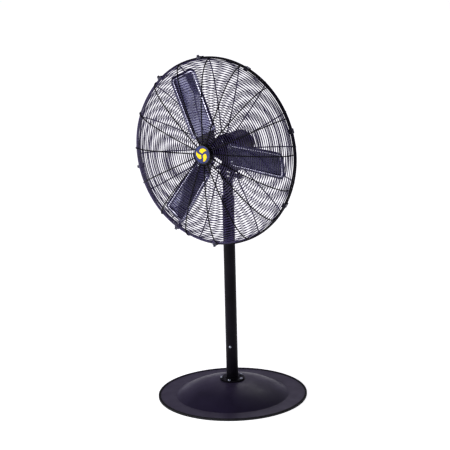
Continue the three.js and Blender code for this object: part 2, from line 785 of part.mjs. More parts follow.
function addMotor(axle) {
  addMesh(axle, 'motor_shell', motorShell(), blackPaint());
  addMesh(axle, 'front_bell', frontBell(), blackPaint());
  addMesh(axle, 'rear_bell', rearBell(), blackPaint());

  const start = behind(statorFront);
  const end = behind(statorBack);
  const core = turnedY(ringOutline(statorBore, motorShellBore - gap, start, end));
  const slots = slotBars(
    statorBore - cutMargin,
    slotBottomRadius,
    slotWidth,
    start - cutMargin,
    end + cutMargin,
  );
  addMesh(axle, 'stator_core', cut(core, ...slots), steel());

  const coilInner = statorBore + 2;
  const coilOuter = slotBottomRadius - gap;
  const frontCoil = ringOutline(coilInner, coilOuter, start - windingOverhang, start - gap);
  const rearCoil = ringOutline(coilInner, coilOuter, end + gap, end + windingOverhang);
  const bars = slotBars(
    coilInner,
    slotBottomRadius - 1,
    slotWidth - 2 * gap,
    start - windingOverhang / 2,
    end + windingOverhang / 2,
  );
  const winding = join(turnedY(frontCoil), turnedY(rearCoil), ...bars);
  addMesh(axle, 'stator_winding', winding, copper());

  [['front_bearing', frontBearing], ['rear_bearing', rearBearing]].forEach(([name, place]) => {
    const outline = ringOutline(
      shaftRadius + gap,
      bearingRadius,
      behind(place),
      behind(place + bearingWidth),
    );
    addMesh(axle, name, turnedY(outline), steel());
  });

  const capacitorY = behind(statorBack + windingOverhang + capacitorSetback);
  const capacitorDrop = motorShellBore - capacitorRadius - capacitorClearance;
  const can = turnedX(
    rodOutline(capacitorRadius, -capacitorHalfLength, capacitorHalfLength),
    roundSides,
  );
  can.translate(0, capacitorY + capacitorRadius, -capacitorDrop);
  addMesh(axle, 'run_capacitor', can, materialOf(0x8f9297, 0.4, 0.7));
}

// ---------------------------------------------------------------- speed switch and cable gland

function addControls(axle) {
  const face = behind(motorBack);
  const inside = face - bellFaceThickness - gap;
  const body = box(
    -switchHalfWidth,
    switchHalfWidth,
    inside - switchDepth,
    inside,
    switchOffset - switchHalfHeight,
    switchOffset + switchHalfHeight,
  );
  const socketOutline = rodOutline(spindleRadius + gap, inside - spindleBore, inside + cutMargin);
  const socket = turnedY(socketOutline, smallSides);
  socket.translate(0, 0, switchOffset);
  addMesh(axle, 'speed_switch', cut(body, socket), plastic());

  const spindleStart = inside - spindleBore + 1;
  const spindle = turnedY(rodOutline(spindleRadius, spindleStart, face + knobBore), smallSides);
  const grip = lobedGrip(speedKnobRadius, speedKnobLength).rotateX(-Math.PI / 2);
  grip.translate(0, face + gap, 0);
  addMesh(axle, 'speed_knob', join(spindle, grip), plastic()).position.z = switchOffset;

  const nutStart = inside - glandLockNut;
  const nutRadius = glandRadius + glandNutMargin;
  const gland = turnedY(
    [
      [glandBore, nutStart],
      [nutRadius, nutStart],
      [nutRadius, inside],
      [glandRadius, inside],
      [glandRadius, face + gap],
      [nutRadius, face + gap],
      [nutRadius, face + glandNutLength],
      [glandRadius - glandTaper, face + glandLength],
      [glandBore, face + glandLength],
    ],
    smallSides,
  );
  addMesh(axle, 'cable_gland', gland, plastic()).position.z = -glandOffset;
}

// ---------------------------------------------------------------- propeller

function bladePitch(share) {
  const turned = THREE.MathUtils.smoothstep(share, bladeFlatEnd, 1);
  return radians(bladeRootPitch - bladePitchRange * turned);
}

// One blade points up +Z: chord along X, the -X edge forward. Bent from a flat sheet.
function bladeSheet() {
  const flat = new THREE.BoxGeometry(2, bladeThickness, 1, 4, 1, 10);
  const places = flat.attributes.position;
  for (let i = 0; i < places.count; i += 1) {
    const across = places.getX(i);
    const share = places.getZ(i) + 0.5;
    const half = THREE.MathUtils.lerp(bladeRootChord, bladeTipChord, share) / 2;
    const bend = THREE.MathUtils.smoothstep(share, bladeFlatEnd, 1);
    const x = across * half + bladeTipShift * share;
    const y = places.getY(i) + bladeCamber * bend * (1 - across ** 2);
    const corner = bladeCornerDrop * across ** 8 * share ** 6;
    const pitch = bladePitch(share);
    places.setXYZ(
      i,
      x * Math.cos(pitch) - y * Math.sin(pitch),
      x * Math.sin(pitch) + y * Math.cos(pitch),
      bladeRoot + (bladeTip - bladeRoot) * share - corner,
    );
  }
  return flat;
}

// Moves a shape from the blade root's own flat plane into the pitched blade position.
function pitched(geometry) {
  return geometry.rotateZ(radians(bladeRootPitch));
}

function rivetSpots() {
  return [-1, 1].map((side) => [side * rivetSpread, rivetRing]);
}

function rivetHoles(radius) {
  const reach = bladeThickness + hubArmThickness + bladeCamber;
  return rivetSpots().map(([x, z]) => {
    const hole = turnedY(rodOutline(radius, -reach, reach), smallSides).translate(x, 0, z);
    return pitched(hole);
  });
}

function hubArm() {
  const back = bladeThickness / 2 + gap;
  const outline = [
    [-hubArmRootWidth / 2, 0],
    [hubArmRootWidth / 2, 0],
    [hubArmTipWidth / 2, bladeRoot + hubArmShoulder],
    [hubArmTipWidth / 2, hubArmEnd],
    [-hubArmTipWidth / 2, hubArmEnd],
    [-hubArmTipWidth / 2, bladeRoot + hubArmShoulder],
  ];
  // The outline is drawn in X and Z, so it is stood up and pushed back behind the blade.
  const plate = extruded(outline, hubArmThickness).rotateX(Math.PI / 2);
  return pitched(plate.translate(0, back + hubArmThickness, 0));
}

function bladeHub() {
  const boss = turnedY(rodOutline(hubRadius, -hubLength / 2, hubLength / 2));
  const arms = [];
  const holes = [turnedY(rodOutline(shaftRadius + gap, -hubLength, hubLength))];
  for (let i = 0; i < bladeCount; i += 1) {
    const angle = radians(firstBladeAngle + (360 / bladeCount) * i);
    arms.push(hubArm().rotateY(angle));
    rivetHoles(rivetRadius + gap).forEach((hole) => holes.push(hole.rotateY(angle)));
  }
  const screwHole = turnedZ(
    rodOutline(setScrewRadius + gap, 0, hubRadius + cutMargin),
    smallSides,
  );
  holes.push(screwHole.rotateY(radians(setScrewAngle)).translate(0, -hubLength / 4, 0));
  return cut(join(boss, ...arms), ...holes);
}

function rivet() {
  const front = -bladeThickness / 2 - gap;
  const back = bladeThickness / 2 + 2 * gap + hubArmThickness;
  return turnedY(
    [
      [0, front - rivetHeadHeight],
      [rivetHeadRadius, front],
      [rivetRadius, front],
      [rivetRadius, back],
      [rivetHeadRadius, back],
      [0, back + rivetHeadHeight],
    ],
    smallSides,
  );
}

function addPropeller(axle) {
  const propeller = new THREE.Group();
  propeller.position.y = ahead(bladePlane);
  axle.add(propeller);
  addMesh(propeller, 'blade_hub', bladeHub(), blackPaint());
  for (let i = 0; i < bladeCount; i += 1) {
    const angle = radians(firstBladeAngle + (360 / bladeCount) * i);
    const blade = cut(bladeSheet(), ...rivetHoles(rivetRadius + gap)).rotateY(angle);
    addMesh(propeller, `blade_${i + 1}`, blade, bladeMetal());
    rivetSpots().forEach(([x, z], index) => {
      const piece = pitched(rivet().translate(x, 0, z)).rotateY(angle);
      addMesh(propeller, `blade_${i + 1}_rivet_${index + 1}`, piece, zinc());
    });
  }
  const screw = turnedZ(rodOutline(setScrewRadius, shaftRadius + gap, hubRadius + 1), smallSides);
  screw.rotateY(radians(setScrewAngle)).translate(0, -hubLength / 4, 0);
  addMesh(propeller, 'hub_set_screw', screw, steel());

  const shaftFront = ahead(bladePlane + hubLength / 2 + shaftProud);
  const shaftBack = behind(rearBearing + bearingWidth - 1);
  addMesh(axle, 'motor_shaft', turnedY(rodOutline(shaftRadius, shaftFront, shaftBack)), steel());
  const rotor = ringOutline(
    shaftRadius + gap,
    rotorRadius,
    behind(statorFront),
    behind(statorBack),
  );
  addMesh(axle, 'rotor_core', turnedY(rotor), steel());
}

// ---------------------------------------------------------------- wire guard

// Distance of the guard's wire mesh from the joint plane, at a radius.
function guardDepth(radius, depth) {
  const share = Math.max(0, 1 - (radius / rimRadius) ** guardBend);
  return rimOffset + (depth - rimOffset) * share ** guardFlatness;
}

function wireRing(radius, y, wire, sides, facets) {
  const section = [];
  for (let i = 0; i < sides; i += 1) {
    const angle = ((i + 0.5) / sides) * 2 * Math.PI;
    const reach = wire / 2 / Math.cos(Math.PI / sides);
    section.push([radius + reach * Math.cos(angle), y + reach * Math.sin(angle)]);
  }
  return turnedY(section, facets);
}

function guardRib(innerRadius, depth, place, angle) {
  const points = [];
  for (let i = 0; i <= ribSteps; i += 1) {
    // Steps bunch up towards the rim, where the profile turns.
    const share = Math.sin(((i / ribSteps) * Math.PI) / 2);
    const radius = innerRadius + (rimRadius - innerRadius) * share;
    points.push(new THREE.Vector3(0, place(guardDepth(radius, depth)), radius));
  }
  const half = guardWire / 2;
  const section = new THREE.Shape([
    new THREE.Vector2(-half, -half),
    new THREE.Vector2(half, -half),
    new THREE.Vector2(half, half),
    new THREE.Vector2(-half, half),
  ]);
  const curve = new THREE.CatmullRomCurve3(points, false, 'centripetal');
  const rib = new THREE.ExtrudeGeometry(section, { steps: ribSteps, extrudePath: curve });
  return rib.rotateY(radians(angle));
}

function guard(innerRadius, depth, place, firstRib) {
  const rings = [wireRing(rimRadius, place(rimOffset), rimWire, 6, rimSides)];
  [innerRadius, ...guardRings].forEach((radius) => {
    const y = place(guardDepth(radius, depth));
    rings.push(wireRing(radius, y, guardWire + guardRingMargin, 4, ringSides));
  });
  const ribs = [];
  for (let i = 0; i < ribCount; i += 1) {
    ribs.push(guardRib(innerRadius, depth, place, firstRib + (360 / ribCount) * i));
  }
  return join(...rings, ...ribs);
}

function mountScrewHoles(start, end) {
  const holes = [];
  for (let i = 0; i < mountArmCount; i += 1) {
    const hole = turnedY(rodOutline(mountScrewRadius + gap, behind(start), behind(end)), smallSides);
    hole.translate(0, 0, mountScrewCircle);
    holes.push(hole.rotateY((i * 2 * Math.PI) / mountArmCount));
  }
  return holes;
}

function addGuard(axle) {
  const frontMesh = guard(badgeRingRadius, frontGuardDepth, ahead, frontRibAngle);
  const rearMesh = guard(rearRingRadius, rearGuardDepth, behind, rearRibAngle);
  addMesh(axle, 'front_guard', frontMesh, blackPaint());
  addMesh(axle, 'rear_guard', rearMesh, blackPaint());

  const badgeBack = frontGuardDepth + guardWire / 2 + guardRingMargin;
  const badgeFace = badgeBack + badgeThickness;
  const badge = turnedY([
    [0, ahead(badgeFace - badgeRimHeight)],
    [badgeRadius - badgeRimWidth - badgeEdge, ahead(badgeFace - badgeRimHeight)],
    [badgeRadius - badgeRimWidth, ahead(badgeFace)],
    [badgeRadius - badgeEdge, ahead(badgeFace)],
    [badgeRadius, ahead(badgeFace - 2 * badgeEdge)],
    [badgeRadius, ahead(badgeBack)],
    [0, ahead(badgeBack)],
  ]);
  addMesh(axle, 'centre_badge', badge, materialOf(0x6b6fa0, 0.4, 0));

  // The rear guard's centre ring lies on three arms bolted to the motor's front bell.
  const plateBack = motorFront - gap;
  const plateFront = plateBack - mountPlateThickness;
  const y0 = behind(plateFront);
  const y1 = behind(plateBack);
  const arms = [];
  for (let i = 0; i < mountArmCount; i += 1) {
    const half = mountArmWidth / 2;
    const armStart = mountPlateOuter - mountScrewInset / 2;
    const arm = box(-half, half, y0, y1, armStart, rearRingRadius - guardWire);
    arms.push(arm.rotateY((i * 2 * Math.PI) / mountArmCount));
  }
  const disc = turnedY(ringOutline(mountPlateInner, mountPlateOuter, y0, y1));
  const holes = mountScrewHoles(plateFront - cutMargin, plateBack + cutMargin);
  addMesh(axle, 'guard_mount_plate', cut(join(disc, ...arms), ...holes), blackPaint());
  for (let i = 0; i < mountArmCount; i += 1) {
    const length = mountPlateThickness + bellFaceThickness;
    const screw = hexBolt(
      mountScrewRadius,
      mountScrewHeadRadius,
      mountScrewHeadHeight,
      length,
    ).rotateX(Math.PI / 2);
    screw.translate(0, y0 - gap, mountScrewCircle).rotateY((i * 2 * Math.PI) / mountArmCount);
    addMesh(axle, `guard_screw_${i + 1}`, screw, zinc());
  }
}

// Spring clip over both rim wires: a C section with a finger tongue on its front end.
function guardClip() {
  const inside = guardRadius + clipClearance;
  const outside = inside + clipThickness;
  const reach = rimOffset + rimWire / 2 + clipClearance;
  const end = reach + clipThickness;
  const low = inside - clipLipDepth;
  const section = [
    [-end, low],
    [-reach, low],
    [-reach, inside],
    [reach, inside],
    [reach, low],
    [end, low],
    [end, outside],
    [clipTongueLean - end, outside],
    [-end - clipLap, outside + clipTongue],
    [-end - clipTongueLean, outside + clipTongue - clipLap],
    [-end, outside - clipLap],
  ];
  // The section is drawn with X along the fan axis and Y outwards, and extruded tangentially.
  const clip = extruded(section, clipLength).translate(0, 0, -clipLength / 2);
  const alongAxis = new THREE.Vector3(0, 1, 0);
  const outwards = new THREE.Vector3(0, 0, 1);
  const tangent = new THREE.Vector3(1, 0, 0);
  clip.applyMatrix4(new THREE.Matrix4().makeBasis(alongAxis, outwards, tangent));
  return clip.translate(0, behind(0), 0);
}

function addClips(axle) {
  clipAngles.forEach((angle, index) => {
    addMesh(axle, `guard_clip_${index + 1}`, guardClip().rotateY(radians(angle)), zinc());
  });
}

// ---------------------------------------------------------------- assembly

const fan = new THREE.Group();
addBase(fan);
addPole(fan);
addYoke(fan);

const head = new THREE.Group();
head.position.z = pivotHeight;
head.rotation.x = -radians(tiltAtRest);
fan.add(head);
addBracket(head);

const axle = new THREE.Group();
axle.position.z = fanAxisHeight;
head.add(axle);
addMotor(axle);
addControls(axle);
addPropeller(axle);
addGuard(axle);
addClips(axle);

export default fan;
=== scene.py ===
import json
import math
from collections import namedtuple

import bmesh
import bpy
from mathutils import Matrix, Vector


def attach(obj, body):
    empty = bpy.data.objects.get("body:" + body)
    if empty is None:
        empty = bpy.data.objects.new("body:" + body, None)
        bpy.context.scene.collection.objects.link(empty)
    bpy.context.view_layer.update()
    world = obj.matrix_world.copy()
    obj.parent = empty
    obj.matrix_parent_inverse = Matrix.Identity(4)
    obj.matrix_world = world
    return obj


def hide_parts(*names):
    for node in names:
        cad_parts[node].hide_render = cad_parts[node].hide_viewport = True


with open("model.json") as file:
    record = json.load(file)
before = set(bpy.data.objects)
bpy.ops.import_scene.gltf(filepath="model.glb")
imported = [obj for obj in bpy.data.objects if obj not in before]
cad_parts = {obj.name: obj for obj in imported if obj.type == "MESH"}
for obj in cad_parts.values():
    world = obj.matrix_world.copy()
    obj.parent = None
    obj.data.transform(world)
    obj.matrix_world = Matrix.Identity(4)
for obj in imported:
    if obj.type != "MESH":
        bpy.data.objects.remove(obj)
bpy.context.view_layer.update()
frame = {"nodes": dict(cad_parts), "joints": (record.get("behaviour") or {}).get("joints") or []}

# High-velocity pedestal fan. Every piece is drawn in millimetres in one of three frames and then
# placed in the row frame, in metres: the floor frame stands on the pole's axis, the head frame on
# the tilt pivot, and the fan frame on the plane where the two guards meet, with +Y to the back.

MM = 0.001
GAP = 0.3
BLADE_PLANE = 36  # the blades' middle ahead of the guard joint plane
TUBE_WALL, SLIM_WALL = 2.2, 2  # outer and inner pole tube
CHEEK, SADDLE = 5, 4  # thickness of the yoke's cheeks and of the motor bracket


# ---- frames and places

def joint(name):
    return next(j for j in frame["joints"] if j["name"] == name)


def turn(degrees, axis):
    return Matrix.Rotation(math.radians(degrees), 4, axis)


def shift(x=0.0, y=0.0, z=0.0):
    return Matrix.Translation((x, y, z))


def frame_at(origin, back):
    """A frame in millimetres with +X to the right and +Y along the given direction."""
    right = Vector((1, 0, 0))
    up = right.cross(back)
    axes = Matrix((right, back, up)).transposed().to_4x4()
    return Matrix.Translation(origin) @ axes @ Matrix.Scale(MM, 4)


AXLE = Vector(joint("blade_spin")["axis"]).normalized()
FLOOR = Matrix.Scale(MM, 4)
HEAD = frame_at(Vector(joint("head_tilt")["pos_m"]), AXLE)
FAN = frame_at(Vector(joint("blade_spin")["pos_m"]) + AXLE * BLADE_PLANE * MM, AXLE)
STAND_UP = turn(90, "X")  # a flat shape's +Y becomes +Z, and its thickness goes forward


def extent(node, place):
    """Lowest and highest corner of a CAD node in one of the frames, in millimetres."""
    back = place.inverted()
    points = [back @ v.co for v in frame["nodes"][node].data.vertices]
    low = Vector([min(p[i] for p in points) for i in range(3)])
    high = Vector([max(p[i] for p in points) for i in range(3)])
    return low, high


# ---- shapes

def rounded(points, steps=5, closed=True):
    """An outline whose points (a, b, fillet) turn into arcs; a plain (a, b) stays a corner."""
    made = []
    count = len(points)
    for i, point in enumerate(points):
        here = Vector(point[:2])
        fillet = point[2] if len(point) > 2 else 0
        end = not closed and i in (0, count - 1)
        if not fillet or end:
            made.append(tuple(here))
            continue
        before = Vector(points[i - 1][:2]) - here
        after = Vector(points[(i + 1) % count][:2]) - here
        half = before.angle(after) / 2
        reach = min(fillet / math.tan(half), 0.49 * before.length, 0.49 * after.length)
        radius = reach * math.tan(half)
        start = before.normalized() * reach
        stop = after.normalized() * reach
        centre = (before.normalized() + after.normalized()).normalized() * radius / math.sin(half)
        for k in range(steps + 1):
            spoke = (start - centre).lerp(stop - centre, k / steps)
            made.append(tuple(here + centre + spoke.normalized() * radius))
    return made


def turned(outline, about="Z", steps=64, closed=True):
    """A full turn of an outline of (radius, place) points about one axis of the frame."""
    put = {
        "X": lambda radius, place: (place, 0, radius),
        "Y": lambda radius, place: (0, place, radius),
        "Z": lambda radius, place: (radius, 0, place),
    }[about]
    shape = bmesh.new()
    points = [shape.verts.new(put(*p)) for p in outline]
    edges = [shape.edges.new(pair) for pair in zip(points, points[1:])]
    if closed:
        edges.append(shape.edges.new((points[-1], points[0])))
    axis = {"X": (1, 0, 0), "Y": (0, 1, 0), "Z": (0, 0, 1)}[about]
    bmesh.ops.spin(
        shape, geom=points + edges, cent=(0, 0, 0), axis=axis,
        angle=2 * math.pi, steps=steps, use_merge=True,
    )
    return shape


def rod(radius, start, end, about="Z", chamfer=0.5, steps=32):
    """A solid bar with rounded ends."""
    outline = rounded(
        [(0, start), (radius, start, chamfer), (radius, end, chamfer), (0, end)], 3, False
    )
    return turned(outline, about, steps, closed=False)


def sleeve(inner, outer, start, end, about="Z", fillet=0.6, steps=64):
    """A tube with rounded lips."""
    outline = [
        (inner, start, fillet), (outer, start, fillet), (outer, end, fillet), (inner, end, fillet),
    ]
    return turned(rounded(outline, 3), about, steps)


def plate(outline, thickness):
    """A flat outline in X and Y, pulled up along +Z."""
    shape = bmesh.new()
    face = shape.faces.new([shape.verts.new((x, y, 0)) for x, y in outline])
    pulled = bmesh.ops.extrude_face_region(shape, geom=[face])
    top = [v for v in pulled["geom"] if isinstance(v, bmesh.types.BMVert)]
    bmesh.ops.translate(shape, vec=(0, 0, thickness), verts=top)
    return shape


def block(low, high):
    shape = bmesh.new()
    bmesh.ops.create_cube(shape, size=1)
    size = [b - a for a, b in zip(low, high)]
    middle = [(a + b) / 2 for a, b in zip(low, high)]
    return moved(shape, shift(*middle) @ Matrix.Diagonal((*size, 1)))


def torus(radius, wire, place, about="Y", steps=120, sides=8):
    """A wire bent to a closed ring."""
    section = []
    for i in range(sides):
        angle = (i + 0.5) / sides * 2 * math.pi
        section.append((radius + wire / 2 * math.cos(angle), place + wire / 2 * math.sin(angle)))
    return turned(section, about, steps)


def swept(points, radius, sides=8):
    """A round wire along a path: one circle at each point, bridged to the next."""
    shape = bmesh.new()
    loops = []
    for i, point in enumerate(points):
        ahead = points[min(i + 1, len(points) - 1)] - points[max(i - 1, 0)]
        place = Matrix.Translation(point) @ ahead.to_track_quat("Z", "X").to_matrix().to_4x4()
        ends = i in (0, len(points) - 1)
        ring = bmesh.ops.create_circle(
            shape, cap_ends=ends, radius=radius, segments=sides, matrix=place
        )
        loops.append({e for v in ring["verts"] for e in v.link_edges})
    for near, far in zip(loops, loops[1:]):
        bmesh.ops.bridge_loops(shape, edges=list(near | far))
    return shape


def moved(shape, matrix):
    bmesh.ops.transform(shape, matrix=matrix, verts=shape.verts)
    return shape


def eased(shape, edges, width, segments=2):
    """Rounds the given edges."""
    bmesh.ops.bevel(
        shape, geom=edges, offset=width, offset_type="OFFSET", affect="EDGES",
        segments=segments, profile=0.5, clamp_overlap=True, material=-1,
    )
    return shape


def bevelled(shape, width, segments=2, sharper_than=30):
    """Rounds every edge that turns more than the given angle."""
    bmesh.ops.recalc_face_normals(shape, faces=shape.faces)
    limit = math.radians(sharper_than)
    edges = [e for e in shape.edges if len(e.link_faces) == 2 and e.calc_face_angle(0) > limit]
    return eased(shape, edges, width, segments)


def merged(shapes):
    """Several shapes gathered in one."""
    whole = bmesh.new()
    for shape in shapes:
        mesh = bpy.data.meshes.new("gathered")
        shape.to_mesh(mesh)
        shape.free()
        whole.from_mesh(mesh)
        bpy.data.meshes.remove(mesh)
    return whole


def copies(shape, matrices):
    """The same shape at several places."""
    mesh = bpy.data.meshes.new("copied")
    shape.to_mesh(mesh)
    shape.free()
    whole = bmesh.new()
    for matrix in matrices:
        placed = mesh.copy()
        placed.transform(matrix)
        whole.from_mesh(placed)
        bpy.data.meshes.remove(placed)
    bpy.data.meshes.remove(mesh)
    return whole


def painted(shape, index):
    """Gives every face of a shape one of its piece's materials."""
    for face in shape.faces:
        face.material_index = index
    return shape


def piece(name, shape, place, body, finish, replaced=(), sharp=35):
    """Puts a shape in the row frame as a piece of its own, with its materials."""
    slot, materials = finish
    bmesh.ops.remove_doubles(shape, verts=shape.verts, dist=0.002)
    bmesh.ops.recalc_face_normals(shape, faces=shape.faces)
    moved(shape, place)
    mesh = bpy.data.meshes.new(name)
    shape.to_mesh(mesh)
    shape.free()
    for material in materials:
        mesh.materials.append(material)
    mesh.polygons.foreach_set("use_smooth", [True] * len(mesh.polygons))
    mesh.set_sharp_from_angle(angle=math.radians(sharp))
    made = bpy.data.objects.new(name, mesh)
    bpy.context.scene.collection.objects.link(made)
    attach(made, body)
    if replaced:
        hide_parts(*replaced)
    return made


# ---- materials

def linear(colour):
    """An sRGB hex colour as linear red, green, blue and alpha."""
    parts = [int(colour[i:i + 2], 16) / 255 for i in (0, 2, 4)]
    return (*[p / 12.92 if p < 0.04045 else ((p + 0.055) / 1.055) ** 2.4 for p in parts], 1.0)


def per_metre(size):
    """A pattern's scale from the size of one feature in millimetres."""
    return 1 / (size * MM)


def add(tree, kind, inputs=None, **settings):
    """Adds a node, sets it, and sets or links its inputs."""
    node = tree.nodes.new(kind)
    for name, value in settings.items():
        setattr(node, name, value)
    for name, value in (inputs or {}).items():
        if isinstance(value, bpy.types.NodeSocket):
            tree.links.new(value, node.inputs[name])
        else:
            node.inputs[name].default_value = value
    return node


Look = namedtuple("Look", "material tree shader where")


def start_material(name, base, roughness, metallic=0.0, **sockets):
    """A Principled surface on Object coordinates; its constants sit on its own sockets."""
    material = bpy.data.materials.new(name)
    material.use_nodes = True
    tree = material.node_tree
    tree.nodes.clear()
    values = {"Base Color": linear(base), "Roughness": roughness, "Metallic": metallic}
    values.update({key.replace("_", " "): value for key, value in sockets.items()})
    shader = add(tree, "ShaderNodeBsdfPrincipled", values)
    add(tree, "ShaderNodeOutputMaterial", {"Surface": shader.outputs["BSDF"]})
    where = add(tree, "ShaderNodeTexCoord").outputs["Object"]
    return Look(material, tree, shader, where)


def vary_colour(look, size, first, second, detail=3.0):
    """Clouds of two close colours, as a real finish is never quite even."""
    cloud = add(look.tree, "ShaderNodeTexNoise", {
        "Vector": look.where, "Scale": per_metre(size), "Detail": detail, "Roughness": 0.55,
    })
    spread = add(look.tree, "ShaderNodeMapRange", {
        "Value": cloud.outputs["Fac"], "From Min": 0.36, "From Max": 0.64,
    })
    mixed = add(look.tree, "ShaderNodeMixRGB", {
        "Fac": spread.outputs["Result"], "Color1": linear(first), "Color2": linear(second),
    })
    look.tree.links.new(mixed.outputs["Color"], look.shader.inputs["Base Color"])


def vary_gloss(look, size, low, high):
    """Roughness that drifts between two values: handling marks and uneven gloss."""
    smear = add(look.tree, "ShaderNodeTexNoise", {
        "Vector": look.where, "Scale": per_metre(size), "Detail": 4.0, "Roughness": 0.6,
    })
    spread = add(look.tree, "ShaderNodeMapRange", {
        "Value": smear.outputs["Fac"], "From Min": 0.3, "From Max": 0.7,
        "To Min": low, "To Max": high,
    })
    look.tree.links.new(spread.outputs["Result"], look.shader.inputs["Roughness"])


def relief(look, height, depth, strength=1.0):
    """Bump of the given depth in millimetres."""
    bump = add(look.tree, "ShaderNodeBump", {
        "Height": height, "Distance": depth * MM, "Strength": strength,
    })
    look.tree.links.new(bump.outputs["Normal"], look.shader.inputs["Normal"])


def grained(look, size, depth, strength, detail=2.0, roughness=0.4, where=None):
    """Soft bumps of the given size and depth in millimetres."""
    noise = add(look.tree, "ShaderNodeTexNoise", {
        "Vector": where or look.where, "Scale": per_metre(size), "Detail": detail,
        "Roughness": roughness,
    })
    relief(look, noise.outputs["Fac"], depth, strength)


def striped(look, stripes, first, second, depth, strength):
    """Stripes of two colours, the second of them raised by a depth in millimetres."""
    tone = add(look.tree, "ShaderNodeMixRGB", {
        "Fac": stripes.outputs["Fac"], "Color1": linear(first), "Color2": linear(second),
    })
    look.tree.links.new(tone.outputs["Color"], look.shader.inputs["Base Color"])
    relief(look, stripes.outputs["Fac"], depth, strength)


def black_powder_coat():
    """Polyester powder coat baked on steel: satin black, faintly violet, with orange peel.

    The peel is about 2 mm on the real one and is drawn at 3 mm, so that it shows."""
    look = start_material("black_powder_coat", "0c0a11", 0.34, Specular_IOR_Level=0.1)
    vary_colour(look, 70, "0c0a10", "16131b")
    vary_gloss(look, 24, 0.26, 0.4)
    grained(look, 3, 0.05, 0.5)
    return look.material


def base_enamel():
    """Stoved satin enamel on spun steel: deep violet black with a broad soft sheen.

    Fine dust specks of about 1 mm, drawn at 2 mm, lighten it a little where it lies flat."""
    look = start_material(
        "base_satin_enamel", "241f30", 0.42, Specular_IOR_Level=0.38,
        Coat_Weight=0.08, Coat_Roughness=0.3,
    )
    cloud = add(look.tree, "ShaderNodeTexNoise", {
        "Vector": look.where, "Scale": per_metre(90), "Detail": 4.0, "Roughness": 0.6,
    })
    tone = add(look.tree, "ShaderNodeMixRGB", {
        "Fac": cloud.outputs["Fac"], "Color1": linear("221d2e"), "Color2": linear("352e47"),
    })
    facing = add(look.tree, "ShaderNodeSeparateXYZ", {
        "Vector": add(look.tree, "ShaderNodeNewGeometry").outputs["Normal"],
    })
    flat = add(look.tree, "ShaderNodeMapRange", {
        "Value": facing.outputs["Z"], "From Min": 0.93, "From Max": 1.0, "To Max": 0.5,
    })
    specks = add(look.tree, "ShaderNodeTexNoise", {
        "Vector": look.where, "Scale": per_metre(2), "Detail": 3.0, "Roughness": 0.7,
    })
    amount = add(look.tree, "ShaderNodeMath", {0: flat.outputs["Result"], 1: specks.outputs["Fac"]},
                 operation="MULTIPLY")
    dusty = add(look.tree, "ShaderNodeMixRGB", {
        "Fac": amount.outputs["Value"], "Color1": tone.outputs["Color"], "Color2": linear("645a74"),
    })
    look.tree.links.new(dusty.outputs["Color"], look.shader.inputs["Base Color"])
    vary_gloss(look, 60, 0.36, 0.5)
    grained(look, 7, 0.05, 0.35)
    return look.material


def motor_enamel():
    """Air-drying satin enamel over cast and rolled metal: slightly pebbled, near black."""
    look = start_material(
        "satin_motor_enamel", "0f0d14", 0.36, Specular_IOR_Level=0.25,
        Coat_Weight=0.08, Coat_Roughness=0.2,
    )
    vary_colour(look, 40, "0c0b11", "17141e")
    vary_gloss(look, 18, 0.32, 0.5)
    grained(look, 2.5, 0.12, 0.7, 4.0, 0.6)
    return look.material


def wire_coat():
    """Dipped violet black coat on drawn wire: smooth and glossy, thicker in places. Its colour is
    lighter than the rim and rib paint, partly a painted sheen for the highlights that thin glossy
    wires catch.
    """
    look = start_material(
        "wire_coat_with_painted_sheen", "302849", 0.28, Specular_IOR_Level=0.4,
        Coat_Weight=0.1, Coat_Roughness=0.1,
    )
    vary_colour(look, 30, "2a2340", "3a3158")
    vary_gloss(look, 12, 0.18, 0.34)
    return look.material


def blade_metal():
    """Pressed aluminium sheet, dyed blue black and lacquered: rolled grain under a clear gloss.

    The rolling lines are about 0.3 mm apart on the real sheet and are drawn at 2 mm."""
    look = start_material(
        "dyed_pressed_aluminium", "302f40", 0.2, 0.85,
        Coat_Weight=0.5, Coat_Roughness=0.06,
    )
    vary_colour(look, 120, "2a2a3c", "3a3a50")
    stretched = add(look.tree, "ShaderNodeMapping", {"Vector": look.where, "Scale": (1.0, 1.0, 0.05)})
    lines = add(look.tree, "ShaderNodeTexNoise", {
        "Vector": stretched.outputs["Vector"], "Scale": per_metre(2), "Detail": 3.0,
        "Roughness": 0.6,
    })
    spread = add(look.tree, "ShaderNodeMapRange", {
        "Value": lines.outputs["Fac"], "From Min": 0.3, "From Max": 0.7,
        "To Min": 0.16, "To Max": 0.28,
    })
    look.tree.links.new(spread.outputs["Result"], look.shader.inputs["Roughness"])
    relief(look, lines.outputs["Fac"], 0.02, 0.3)
    return look.material


def painted_highlight_crest_metal():
    """A painted highlight: a bright silver metal on the crest of the pressed rib, standing in for the
    thin light lines along the blades' edges.
    """
    look = start_material(
        "painted_highlight_crest", "b4b4c4", 0.26, 0.95, Coat_Weight=0.4, Coat_Roughness=0.08,
    )
    vary_colour(look, 14, "9696a6", "d0d0e0")
    vary_gloss(look, 6, 0.18, 0.36)
    return look.material


def bright_zinc():
    """Barrel zinc plate: bright, faintly blue, with soft cloudy patches and tiny pits."""
    look = start_material("bright_zinc_plate", "8f929b", 0.28, 1.0)
    vary_colour(look, 4, "787c86", "a4a8b0")
    vary_gloss(look, 2.5, 0.2, 0.42)
    grained(look, 1.2, 0.05, 0.4, 3.0, 0.6)
    return look.material


def clip_steel():
    """Blued spring steel strip: dark, oily sheen, brighter where it rubs."""
    look = start_material(
        "blued_spring_steel", "26262e", 0.32, 0.9, Coat_Weight=0.1, Coat_Roughness=0.2,
    )
    vary_colour(look, 6, "1b1b22", "393943")
    vary_gloss(look, 4, 0.24, 0.46)
    return look.material


